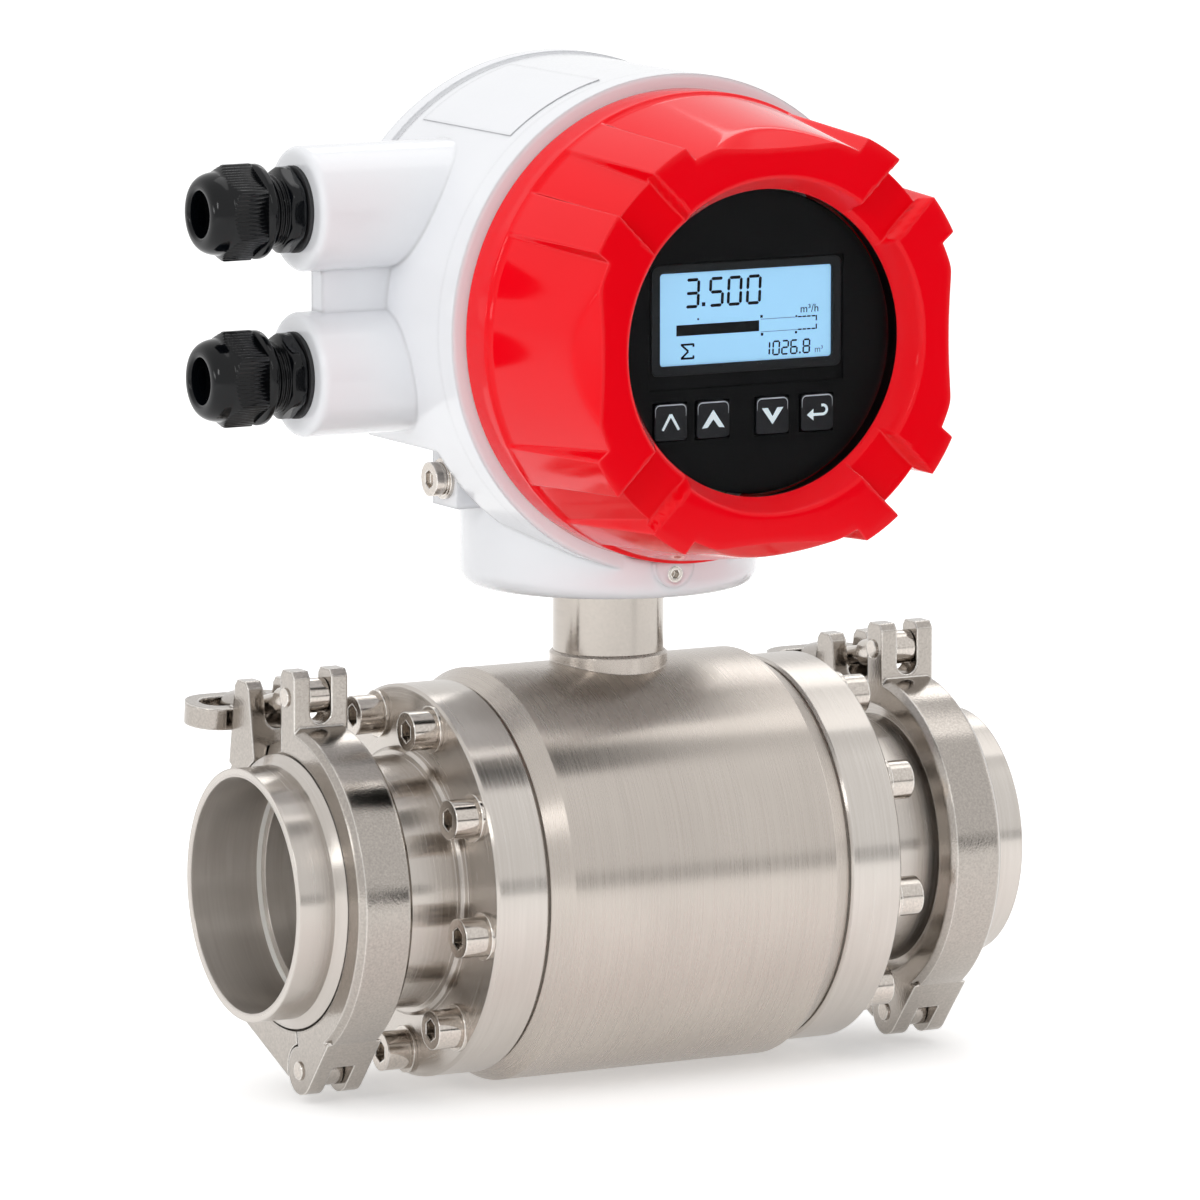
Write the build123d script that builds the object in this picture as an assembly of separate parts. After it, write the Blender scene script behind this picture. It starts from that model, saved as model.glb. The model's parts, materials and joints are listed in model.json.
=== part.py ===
from build123d import *
import math
import os

# Sanitary electromagnetic flow meter with clamped process ends and a compact display head.
# Units are millimetres. The origin is on the pipe axis, in the middle of the measuring tube.
# +X runs along the pipe towards the outlet, the display looks towards -Y, and +Z is up.

os.makedirs("parts", exist_ok=True)

# General clearances
RUNNING_FIT = 0.06
MOVING_GAP = 0.3
THREAD_GAP = 0.3
HOLE_GAP = 0.2

# Process pipe and its clamp joints
PIPE_OD = 76.1
PIPE_WALL = 2.6
PIPE_R = PIPE_OD / 2
PIPE_BORE_R = PIPE_R - PIPE_WALL
FACE_TO_FACE = 200.0
JOINT_X = FACE_TO_FACE / 2
FERRULE_OD = 91.0
FERRULE_R = FERRULE_OD / 2
FERRULE_RIM = 2.85
FERRULE_SLOPE = 20.0
SLOPE_TAN = math.tan(math.radians(FERRULE_SLOPE))
FERRULE_LENGTH = 22.1
FERRULE_HUB_R = 41.3
FERRULE_HUB_LENGTH = 8.2
FERRULE_HUB_BEVEL = 2.2
GASKET_THICKNESS = 1.6
GASKET_LIP = 0.3
CLAMP_X = JOINT_X + GASKET_THICKNESS / 2

# End adapters, bolted to the sensor housing
ADAPTER_BORE_R = 33.0
FLANGE_DROP = 3.2
FLANGE_THICKNESS = 17.4
FLANGE_EDGE = 0.8
ROOT_RING_R = 40.6
ROOT_RING_LENGTH = 2.4
ROOT_RING_BEVEL = 1.0

# Sensor housing
HOUSING_R = 62.5
FLANGE_R = HOUSING_R - FLANGE_DROP
HOUSING_WALL = 4.0
HOUSING_HALF = 50.8
HOUSING_SHOULDER_X = 44.5
HOUSING_SHOULDER_DROP = 4.0
HOUSING_SHOULDER_R = HOUSING_R - HOUSING_SHOULDER_DROP
END_PLATE = 12.0
FLANGE_SEAL_THICKNESS = 0.8
FLANGE_SEAL_INSET = 1.5
FLANGE_SEAL_R = HOUSING_SHOULDER_R - FLANGE_SEAL_INSET
FLANGE_INNER_X = HOUSING_HALF + FLANGE_SEAL_THICKNESS
FLANGE_FACE_X = FLANGE_INNER_X + FLANGE_THICKNESS

# Measuring tube, liner, electrodes and magnet system
LINER_BORE_R = ADAPTER_BORE_R
LINER_WALL = 2.5
LINER_R = LINER_BORE_R + LINER_WALL
LINER_LIP_R = 43.0
LINER_LIP = 2.0
TUBE_WALL = 2.0
TUBE_R = LINER_R + TUBE_WALL
ELECTRODE_R = 2.5
ELECTRODE_HEAD_R = 4.5
ELECTRODE_HEAD = 1.5
BUSH_R = 5.5
BUSH_LENGTH = 6.0
ELECTRODE_NUT_R = 5.0
ELECTRODE_NUT = 3.5
YOKE_GAP = 1.5
YOKE_R = HOUSING_R - HOUSING_WALL - YOKE_GAP
YOKE_WALL = 2.5
ELECTRODE_END_GAP = 4.5
ELECTRODE_LENGTH = YOKE_R - YOKE_WALL - ELECTRODE_END_GAP - LINER_BORE_R
YOKE_WIDTH = 34.0
CORE_R = 9.0
SHOE_R = 17.0
SHOE_HEIGHT = 4.0
COIL_R = 20.0
COIL_GAP = 0.2
COIL_HEIGHT = math.sqrt((YOKE_R - YOKE_WALL) ** 2 - COIL_R ** 2) - TUBE_R - SHOE_HEIGHT - COIL_GAP

# Flange screws
SCREW_COUNT = 9
SCREW_FIRST_ANGLE = -10.0
SCREW_CIRCLE_DROP = 11.0
SCREW_CIRCLE_R = HOUSING_R - SCREW_CIRCLE_DROP
SCREW_R = 3.95
SCREW_HEAD_R = 5.95
SCREW_HEAD = 7.9
SCREW_SOCKET = 6.0
SCREW_SOCKET_DEPTH = 4.0
SCREW_GRIP = 10.0
WASHER_R = 7.2
WASHER_THICKNESS = 1.2

# Neck between the sensor and the head
NECK_R = 16.85
NECK_WALL = 2.6
NECK_SOCKET_R = 17.9
NECK_SOCKET_RISE = 3.1
NECK_SOCKET_TOP = HOUSING_R + NECK_SOCKET_RISE
NECK_SOCKET_BEVEL = 0.8
NECK_ENTRY = 9.0

# Head housing
HEAD_Z = 168.9
HEAD_R = 74.6
HEAD_BORE_R = 67.8
HEAD_FRONT_Y = -41.6
HEAD_BACK_Y = 33.0
HEAD_FRONT_RIM_R = 74.8
HEAD_FRONT_RIM_WIDTH = 9.0
PARTITION_Y = -16.0
PARTITION = 4.0
WIRE_HOLE_R = 8.0
REAR_FLOOR_DROP = 37.9
REAR_FLOOR_Z = HEAD_Z - REAR_FLOOR_DROP
REAR_FLOOR_THICKNESS = 6.0
TOWER_BORE_R = 38.0
TOWER_FLOOR = 12.0
TOWER_TOP_LAP = 2.0
TOWER_R = 45.1
TOWER_DROP = 82.4
TOWER_BOTTOM_Z = HEAD_Z - TOWER_DROP
TOWER_EDGE = 5.0
PAD_RISE = 0.4
PAD_HALF_LENGTH = 28.0
PAD_ANGLE_FROM = 104.0
PAD_ANGLE_SWEEP = 26.0
GLAND_Y = 5.0
GLAND_RISE = 10.4
GLAND_MIDDLE_Z = HEAD_Z + GLAND_RISE
GLAND_SPACING = 49.6
BOSS_R = 18.75
BOSS_END_X = -103.0
BOSS_EDGE = 2.3
WEB_THICKNESS = 7.0
WEB_SETBACK = 7.2
EARTH_Y = 2.0
EARTH_DROP = 48.1
EARTH_Z = HEAD_Z - EARTH_DROP
EARTH_PAD_X = -54.5
EARTH_PAD_WIDTH = 16.0
EARTH_PAD_BELOW = 8.5
EARTH_PAD_ABOVE = 15.2
EARTH_HOLE_DEPTH = 13.0
LOCK_X = -2.5
LOCK_DROP = 72.2
LOCK_Z = HEAD_Z - LOCK_DROP
LOCK_BOSS_R = 6.5
LOCK_BOSS_RISE = 1.7
LOCK_SCREW_DROP = 2.3
LOCK_SCREW_R = 2.5
LOCK_SCREW_LENGTH = 9.0
LOCK_SCREW_SOCKET = 2.5
LOCK_SCREW_SOCKET_DEPTH = 2.5

# Front cover with its window
COVER_GAP = 0.4
COVER_BACK_Y = HEAD_FRONT_Y - COVER_GAP
COVER_FRONT_Y = -104.0
COVER_RIM_R = 70.5
COVER_RIM_WIDTH = 12.0
COVER_STEP = 0.9
COVER_STEP_LENGTH = 0.8
COVER_FACE_R = 63.0
COVER_INNER_R = 61.5
COVER_SPIGOT = 13.0
LOBE_COUNT = 4
RIDGE_R = 66.6
RIDGE_RISE_AT_RIM = 0.7
RIDGE_FROM = 26.5
RIDGE_SWEEP = 11.5
NOTCH_WIDTH = 15.6
NOTCH_DEPTH = 6.0
SCALLOP_R = 181.0
SCALLOP_MIDDLE_R = 58.0
SCALLOP_SLOPE = 33.0
SCALLOP_DEPTH = 14.0
FACE_INNER_R = 49.5
WINDOW_R = 45.4
WINDOW_BEVEL_Y = -95.9
GLASS_FRONT_Y = -95.1
GLASS_R = 50.5
GLASS_THICKNESS = 4.0
GLASS_RING_WIDTH = 4.0
GLASS_RING_THICKNESS = 4.5
O_RING_WIRE_R = 1.5
O_RING_SETBACK = 6.0

# Rear cover
REAR_GASKET = 1.0
REAR_GASKET_INSET = 0.4
REAR_COVER_DEPTH = 9.0
REAR_COVER_R = 75.4
REAR_COVER_EDGE = 3.0
REAR_SPIGOT = 8.0
REAR_SPIGOT_WALL = 5.0
REAR_FLOOR = 5.0
REAR_SCREW_R = 1.5
REAR_SCREW_HEAD_R = 2.7
REAR_SCREW_HEAD = 3.0
REAR_SCREW_SOCKET = 2.5
REAR_SCREW_SOCKET_DEPTH = 1.6
REAR_SCREW_GRIP = 8.0
REAR_SCREW_CIRCLE_R = 71.2
REAR_SCREW_ANGLES = (10.0, 50.0, 90.0, 130.0, 170.0)
REAR_SCREW_FLOOR_X = 42.0
REAR_SCREW_FLOOR_RISE = 3.1

# Display module
DISPLAY_FACE_Y = -89.6
DISPLAY_R = 45.0
DISPLAY_PLATE = 2.2
DISPLAY_CUP_WALL = 2.0
DISPLAY_CUP_DEPTH = 20.0
LCD_WIDTH = 58.0
LCD_HEIGHT = 27.6
LCD_X = -3.1
LCD_RISE = 7.9
LCD_Z = HEAD_Z + LCD_RISE
LCD_MARGIN = 1.5
LCD_RECESS = 0.5
LCD_THICKNESS = 3.0
FRAME_SIDE = 3.6
FRAME_BELOW = 6.8
FRAME_ABOVE = 2.7
FRAME_DEPTH = 0.4
KEY_SIZE = 10.8
KEY_EDGE = 1.2
KEY_X = (-28.8, -14.6, 5.3, 20.4)
KEY_DROP = 22.1
KEY_Z = HEAD_Z - KEY_DROP
KEY_RISE = 0.7
KEY_TRAVEL = 0.6
KEY_FLANGE = 1.0
KEY_FLANGE_THICKNESS = 1.0
KEY_STEM = 3.6
KEY_STEM_LENGTH = 3.0
BOARD_THICKNESS = 1.6
DISPLAY_BOARD_GAP = 8.0
POST_R = 3.0
POST_CIRCLE_R = 39.0
MAIN_BOARD_Y = -26.0
MAIN_BOARD_R = 60.0
TRANSFORMER_LEFT = 24.0
TRANSFORMER_RIGHT = 2.0
TRANSFORMER_DEPTH = 18.0
TRANSFORMER_HEIGHT = 26.0
SHIELD_LEFT = 16.0
SHIELD_RIGHT = 20.0
SHIELD_DEPTH = 6.0
SHIELD_BOTTOM = 6.0
SHIELD_TOP = 28.0
TERMINAL_WIDTH = 70.0
TERMINAL_HEIGHT = 16.0
TERMINAL_DEPTH = 14.0
TERMINAL_WAYS = 8
TERMINAL_RISE = 8.0
TERMINAL_Z = HEAD_Z + TERMINAL_RISE
TERMINAL_HOLE_R = 2.0

# Cable glands
GLAND_THREAD_R = 9.95
GLAND_THREAD_LENGTH = 9.0
GLAND_SEAL_R = 13.0
GLAND_SEAL_THICKNESS = 1.2
GLAND_HEX_R = 13.7
GLAND_HEX_LENGTH = 5.6
GLAND_NECK_R = 10.9
GLAND_NECK_LENGTH = 15.0
GLAND_BORE_R = 8.4
CAP_START = 5.4
CAP_COLLAR_R = 14.2
CAP_COLLAR_LENGTH = 2.2
CAP_HEX_R = 14.8
CAP_HEX_LENGTH = 11.2
CAP_DOME_LENGTH = 6.3
CAP_DOME_R = 12.9
CAP_TIP_R = 8.6
CAP_OPENING_R = 6.9
INSERT_HOLE_R = 5.0
INSERT_LENGTH = 15.0

# Earth terminal screw
EARTH_SCREW_R = 2.95
EARTH_HEAD_R = 5.2
EARTH_HEAD = 2.9
EARTH_SOCKET = 5.0
EARTH_SOCKET_DEPTH = 1.8
EARTH_WASHER_R = 6.2
EARTH_WASHER = 1.2
EARTH_SPRING_R = 5.0
EARTH_SPRING = 1.3

# Hinged clamps. Outlines are (y, z) points in the clamp's own plane.
CLAMP_R = 50.5
CLAMP_WIDTH = 17.8
CLAMP_LIP_R = 42.0
CLAMP_BEVEL_WIDTH = 1.7
CLAMP_BEVEL_R = 48.65
GROOVE_GAP = 0.25
GROOVE_ROOT_GAP = 0.6
HINGE_Y = -9.0
HINGE_Z = -53.0
HINGE_R = 7.3
HINGE_SLOT = 7.2
KNUCKLE_R = 5.0
KNUCKLE_WIDTH = 6.6
TOP_PIN_Y = -0.8
TOP_PIN_Z = 58.8
CLAMP_PIN_R = 2.75
CLAMP_PIN_PROUD = 0.6
FRONT_HALF_REGION = (
    (-80.0, 80.0), (2.2, 80.0), (2.2, 0.0), (-0.5, 0.0), (-13.9, -78.9), (-80.0, -78.9),
)
REAR_HALF_REGION = (
    (14.3, -2.0), (27.7, 77.7), (80.0, 77.7), (80.0, -78.9), (-12.9, -78.9), (0.5, 0.0), (14.3, -2.0),
)
FORK_OUTLINE = ((-6.5, 40.0), (-6.5, 65.1), (-5.0, 67.0), (0.9, 67.0), (2.4, 65.1), (2.2, 40.0))
FORK_SLOT = 7.2
FORK_SLOT_BOTTOM_Z = 54.6
EAR_OUTLINE = (
    (20.3, 36.0), (21.2, 39.0), (24.3, 57.8), (26.1, 59.8),
    (31.4, 59.8), (33.3, 57.8), (37.4, 33.9), (30.0, 30.0),
)
EAR_SLOT = 7.8
EAR_SLOT_BOTTOM_Z = 49.4
CLAMP_CUT_REACH = 2 * CLAMP_R
FORK_CUT_REACH = 20.0
POCKET_FRONT_Y = -35.0
EAR_CUT_FRONT_Y = 15.0
EAR_CUT_BACK_Y = 45.0
LUG_OUTLINE = ((-28.0, -42.0), (-14.7, -57.6), (-9.0, -53.0), (-8.6, -46.0), (-22.0, -42.0))
HEEL_OUTLINE = (
    (29.0, -41.3), (27.6, -43.8), (-1.3, -55.7), (-9.0, -58.0), (-9.0, -48.0), (2.0, -44.0), (22.0, -41.0),
)
HINGE_CLEAR_OUTLINE = ((-8.1, -45.0), (-10.4, -59.5), (0.0, -62.0), (4.0, -44.0))
BOLT_DROP = 13.0
EYE_R = 5.2
BOLT_R = 3.0
BOLT_LENGTH = 58.0
BARREL_START = 9.0
BARREL_LENGTH = 10.0
BARREL_R = 4.3
NUT_START = 38.6
NUT_NOSE = 2.0
NUT_NOSE_R = 4.0
NUT_HUB_R = 6.3
NUT_HUB_LENGTH = 13.5
WING_CENTRE = 49.8
WING_HALF_SPAN = 17.8
WING_HALF_DEPTH = 9.5
WING_BAR = 4.2
WING_THICKNESS = 6.6
WING_TILT = 19.0

# Signal cable in the neck
CABLE_R = 3.0
CABLE_TOP_DROP = 56.9
CABLE_TOP_Z = HEAD_Z - CABLE_TOP_DROP
CABLE_Y = 3.0


def cyl_x(radius, x0, x1, y=0.0, z=0.0):
    """A round bar along X between two stations."""
    return Pos((x0 + x1) / 2, y, z) * Rot(0, 90, 0) * Cylinder(radius, abs(x1 - x0))


def cyl_y(radius, y0, y1, x=0.0, z=0.0):
    """A round bar along Y between two stations."""
    return Pos(x, (y0 + y1) / 2, z) * Rot(90, 0, 0) * Cylinder(radius, abs(y1 - y0))


def cyl_z(radius, z0, z1, x=0.0, y=0.0):
    """A round bar along Z between two stations."""
    return Pos(x, y, (z0 + z1) / 2) * Cylinder(radius, abs(z1 - z0))


def block(x0, x1, y0, y1, z0, z1):
    """A rectangular block between two opposite corners."""
    return Pos((x0 + x1) / 2, (y0 + y1) / 2, (z0 + z1) / 2) * Box(x1 - x0, y1 - y0, z1 - z0)


def turned_x(points):
    """A body turned about the pipe axis, from (x, radius) points."""
    return revolve(make_face(Polyline(*points, close=True)), Axis.X)


def turned_y(points, arc=360.0):
    """A body turned about the head's axis, from (y, radius) points, at the head's height."""
    outline = [(radius, y) for y, radius in points]
    return Pos(0, 0, HEAD_Z) * revolve(make_face(Polyline(*outline, close=True)), Axis.Y, arc)


def hex_x(corner_radius, x0, x1, y=0.0, z=0.0):
    """A hexagonal bar along X with corners at its top and bottom."""
    section = Plane.YZ * RegularPolygon(corner_radius, 6, rotation=30)
    return Pos(min(x0, x1), y, z) * extrude(section, abs(x1 - x0))


def slab_yz(points, x0, x1):
    """A plate across X, cut to an outline of (y, z) points."""
    section = Plane.YZ * make_face(Polyline(*points, close=True))
    return Pos(x0, 0, 0) * extrude(section, x1 - x0)


def about_head(shape, angle):
    """Turn a shape about the head's axis; 0 is +X and 90 is up."""
    return Pos(0, 0, HEAD_Z) * Rot(0, -angle, 0) * Pos(0, 0, -HEAD_Z) * shape


def mirrored(shape):
    """The same shape on the other side of the pipe's middle."""
    return mirror(shape, about=Plane.YZ)


def save(name, shape):
    """Write one node."""
    shape.label = name
    export_step(shape, f"parts/{name}.step")


def save_group(name, shapes):
    """Write several like pieces as one node."""
    save(name, Compound(children=list(shapes)))


# Process ends

def weld_ferrule(side):
    """Clamp ferrule that is welded to the customer's pipe."""
    face = JOINT_X + GASKET_THICKNESS
    hub_foot = face + FERRULE_RIM + (FERRULE_R - FERRULE_HUB_R) * SLOPE_TAN
    body = turned_x([
        (face, PIPE_BORE_R),
        (face, FERRULE_R),
        (face + FERRULE_RIM, FERRULE_R),
        (hub_foot, FERRULE_HUB_R),
        (face + FERRULE_HUB_LENGTH, FERRULE_HUB_R),
        (face + FERRULE_HUB_LENGTH + FERRULE_HUB_BEVEL, PIPE_R),
        (face + FERRULE_LENGTH, PIPE_R),
        (face + FERRULE_LENGTH, PIPE_BORE_R),
    ])
    return body if side > 0 else mirrored(body)


def clamp_gasket(side):
    """Flat ring between the two ferrules."""
    ring = turned_x([
        (JOINT_X, PIPE_BORE_R),
        (JOINT_X, FERRULE_R - GASKET_LIP),
        (JOINT_X + GASKET_THICKNESS, FERRULE_R - GASKET_LIP),
        (JOINT_X + GASKET_THICKNESS, PIPE_BORE_R),
    ])
    return ring if side > 0 else mirrored(ring)


def screw_places():
    """Angles of the flange screws, measured from -Y towards +Z."""
    step = 360.0 / SCREW_COUNT
    return [SCREW_FIRST_ANGLE + index * step for index in range(SCREW_COUNT)]


def on_screw_circle(angle):
    """The (y, z) place of a flange screw."""
    turn = math.radians(angle)
    return -SCREW_CIRCLE_R * math.cos(turn), SCREW_CIRCLE_R * math.sin(turn)


def end_adapter(side):
    """Bolted flange, short neck and clamp ferrule, turned as one piece."""
    rim_back = JOINT_X - FERRULE_RIM
    body = turned_x([
        (FLANGE_INNER_X, ADAPTER_BORE_R),
        (FLANGE_INNER_X, FLANGE_R - FLANGE_EDGE),
        (FLANGE_INNER_X + FLANGE_EDGE, FLANGE_R),
        (FLANGE_FACE_X - FLANGE_EDGE, FLANGE_R),
        (FLANGE_FACE_X, FLANGE_R - FLANGE_EDGE),
        (FLANGE_FACE_X, ROOT_RING_R),
        (FLANGE_FACE_X + ROOT_RING_LENGTH - ROOT_RING_BEVEL, ROOT_RING_R),
        (FLANGE_FACE_X + ROOT_RING_LENGTH, ROOT_RING_R - ROOT_RING_BEVEL),
        (FLANGE_FACE_X + ROOT_RING_LENGTH, PIPE_R),
        (rim_back - (FERRULE_R - PIPE_R) * SLOPE_TAN, PIPE_R),
        (rim_back, FERRULE_R),
        (JOINT_X, FERRULE_R),
        (JOINT_X, ADAPTER_BORE_R),
    ])
    for angle in screw_places():
        y, z = on_screw_circle(angle)
        body -= cyl_x(SCREW_R + HOLE_GAP, FLANGE_INNER_X - 1, FLANGE_FACE_X + 1, y, z)
    return body if side > 0 else mirrored(body)


def flange_seal(side):
    """Flat seal between the sensor housing and an end adapter."""
    ring = turned_x([
        (HOUSING_HALF, ADAPTER_BORE_R),
        (HOUSING_HALF, FLANGE_SEAL_R),
        (FLANGE_INNER_X, FLANGE_SEAL_R),
        (FLANGE_INNER_X, ADAPTER_BORE_R),
    ])
    for angle in screw_places():
        y, z = on_screw_circle(angle)
        ring -= cyl_x(SCREW_R + HOLE_GAP, HOUSING_HALF - 1, FLANGE_INNER_X + 1, y, z)
    return ring if side > 0 else mirrored(ring)


def flange_screw(angle, side):
    """Socket-head screw through the flange into the housing's end plate."""
    y, z = on_screw_circle(angle)
    seat = FLANGE_FACE_X + WASHER_THICKNESS
    tip = HOUSING_HALF - SCREW_GRIP
    screw = cyl_x(SCREW_R, tip, seat, y, z) + cyl_x(SCREW_HEAD_R, seat, seat + SCREW_HEAD, y, z)
    socket_corner_r = SCREW_SOCKET / math.sqrt(3)
    screw -= hex_x(socket_corner_r, seat + SCREW_HEAD - SCREW_SOCKET_DEPTH, seat + SCREW_HEAD + 1, y, z)
    return screw if side > 0 else mirrored(screw)


def flange_washer(angle, side):
    """Plain washer under a flange screw's head."""
    y, z = on_screw_circle(angle)
    top = FLANGE_FACE_X + WASHER_THICKNESS
    washer = cyl_x(WASHER_R, FLANGE_FACE_X, top, y, z)
    washer -= cyl_x(SCREW_R + HOLE_GAP, FLANGE_FACE_X - 1, top + 1, y, z)
    return washer if side > 0 else mirrored(washer)


# Sensor

def sensor_housing():
    """Welded outer shell with two thick end plates and the neck's socket."""
    inner_r = HOUSING_R - HOUSING_WALL
    plate_x = HOUSING_HALF - END_PLATE
    lip_x = HOUSING_HALF - LINER_LIP
    shell = turned_x([
        (-HOUSING_HALF, LINER_LIP_R),
        (-HOUSING_HALF, HOUSING_SHOULDER_R),
        (-HOUSING_SHOULDER_X, HOUSING_R),
        (HOUSING_SHOULDER_X, HOUSING_R),
        (HOUSING_HALF, HOUSING_SHOULDER_R),
        (HOUSING_HALF, LINER_LIP_R),
        (lip_x, LINER_LIP_R),
        (lip_x, TUBE_R),
        (plate_x, TUBE_R),
        (plate_x, inner_r),
        (-plate_x, inner_r),
        (-plate_x, TUBE_R),
        (-lip_x, TUBE_R),
        (-lip_x, LINER_LIP_R),
    ])
    socket = cyl_z(NECK_SOCKET_R, TUBE_R, NECK_SOCKET_TOP)
    socket = chamfer(socket.edges().group_by(Axis.Z)[-1], NECK_SOCKET_BEVEL)
    shell += socket - cyl_x(inner_r, -NECK_SOCKET_R - 1, NECK_SOCKET_R + 1)
    shell -= cyl_z(NECK_R, TUBE_R, NECK_SOCKET_TOP + 1)
    for side in (-1, 1):
        for angle in screw_places():
            y, z = on_screw_circle(angle)
            depth = SCREW_GRIP + MOVING_GAP
            shell -= cyl_x(SCREW_R, side * (HOUSING_HALF - depth), side * (HOUSING_HALF + 1), y, z)
    return shell


def measuring_tube():
    """Non-magnetic tube that carries the liner."""
    half = HOUSING_HALF - LINER_LIP
    tube = turned_x([(-half, LINER_R), (-half, TUBE_R), (half, TUBE_R), (half, LINER_R)])
    return tube - cyl_y(BUSH_R, -HOUSING_R, HOUSING_R)


def liner():
    """Insulating liner, flared over both ends of the tube."""
    half = HOUSING_HALF
    flare = HOUSING_HALF - LINER_LIP
    body = turned_x([
        (-half, LINER_BORE_R),
        (-half, LINER_LIP_R),
        (-flare, LINER_LIP_R),
        (-flare, LINER_R),
        (flare, LINER_R),
        (flare, LINER_LIP_R),
        (half, LINER_LIP_R),
        (half, LINER_BORE_R),
    ])
    body -= cyl_y(ELECTRODE_R, -HOUSING_R, HOUSING_R)
    head_seat = LINER_BORE_R + ELECTRODE_HEAD
    return body - cyl_y(ELECTRODE_HEAD_R, -head_seat, head_seat)


def electrode(side):
    """Measuring electrode: a flush head inside the liner and a stem through the wall."""
    bore_edge = math.sqrt(LINER_BORE_R ** 2 - ELECTRODE_HEAD_R ** 2)
    head = cyl_y(ELECTRODE_HEAD_R, side * bore_edge, side * (LINER_BORE_R + ELECTRODE_HEAD))
    head -= cyl_x(LINER_BORE_R, -ELECTRODE_HEAD_R - 1, ELECTRODE_HEAD_R + 1)
    stem_end = LINER_BORE_R + ELECTRODE_LENGTH
    return head + cyl_y(ELECTRODE_R, side * (LINER_BORE_R + ELECTRODE_HEAD), side * stem_end)


def electrode_bush(side):
    """Insulating bush around an electrode's stem."""
    bush = cyl_y(BUSH_R, side * (LINER_R - 1), side * (LINER_R + BUSH_LENGTH))
    bush -= cyl_x(LINER_R, -BUSH_R - 1, BUSH_R + 1)
    return bush - cyl_y(ELECTRODE_R, 0, side * HOUSING_R)


def electrode_nut(side):
    """Nut that pulls an electrode against the liner."""
    start = LINER_R + BUSH_LENGTH
    nut = cyl_y(ELECTRODE_NUT_R, side * start, side * (start + ELECTRODE_NUT))
    return nut - cyl_y(ELECTRODE_R, 0, side * HOUSING_R)


def pole_core(side):
    """Iron core with a saddle-shaped shoe on the measuring tube."""
    shoe_top = TUBE_R + SHOE_HEIGHT
    core = cyl_z(SHOE_R, 0, side * shoe_top) - cyl_x(TUBE_R, -SHOE_R - 1, SHOE_R + 1)
    core += cyl_z(CORE_R, side * shoe_top, side * YOKE_R) - cyl_x(TUBE_R, -SHOE_R - 1, SHOE_R + 1)
    return core & cyl_x(YOKE_R - YOKE_WALL, -SHOE_R - 1, SHOE_R + 1)


def field_coil(side):
    """Field coil around a core."""
    start = TUBE_R + SHOE_HEIGHT
    coil = cyl_z(COIL_R, side * start, side * (start + COIL_HEIGHT))
    coil -= cyl_z(CORE_R, 0, side * HOUSING_R)
    return coil


def magnet_yoke():
    """Ring that closes the magnetic circuit round the coils."""
    half = YOKE_WIDTH / 2
    inner = YOKE_R - YOKE_WALL
    ring = turned_x([(-half, inner), (-half, YOKE_R), (half, YOKE_R), (half, inner)])
    return ring


def neck_tube():
    """Tube that carries the head and holds the signal wires."""
    top = TOWER_BOTTOM_Z + NECK_ENTRY
    inner_r = HOUSING_R - HOUSING_WALL
    return cyl_z(NECK_R, inner_r, top) - cyl_z(NECK_R - NECK_WALL, inner_r - 1, top + 1)


# Head housing

def gland_heights():
    """Heights of the two cable entries, lower first."""
    return GLAND_MIDDLE_Z - GLAND_SPACING / 2, GLAND_MIDDLE_Z + GLAND_SPACING / 2


def rear_section(radius, y0, y1, above=0.0):
    """A round bar on the head's axis with a flat floor, the section of the rear chamber."""
    bar = cyl_y(radius, y0, y1, 0, HEAD_Z)
    return bar - block(-radius - 1, radius + 1, y0 - 1, y1 + 1, 0, REAR_FLOOR_Z + above)


def rear_screw_places():
    """The (x, z) places of the rear cover's screws."""
    places = []
    for angle in REAR_SCREW_ANGLES:
        turn = math.radians(angle)
        places.append((REAR_SCREW_CIRCLE_R * math.cos(turn), HEAD_Z + REAR_SCREW_CIRCLE_R * math.sin(turn)))
    floor_z = REAR_FLOOR_Z + REAR_SCREW_FLOOR_RISE
    return places + [(-REAR_SCREW_FLOOR_X, floor_z), (REAR_SCREW_FLOOR_X, floor_z)]


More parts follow.
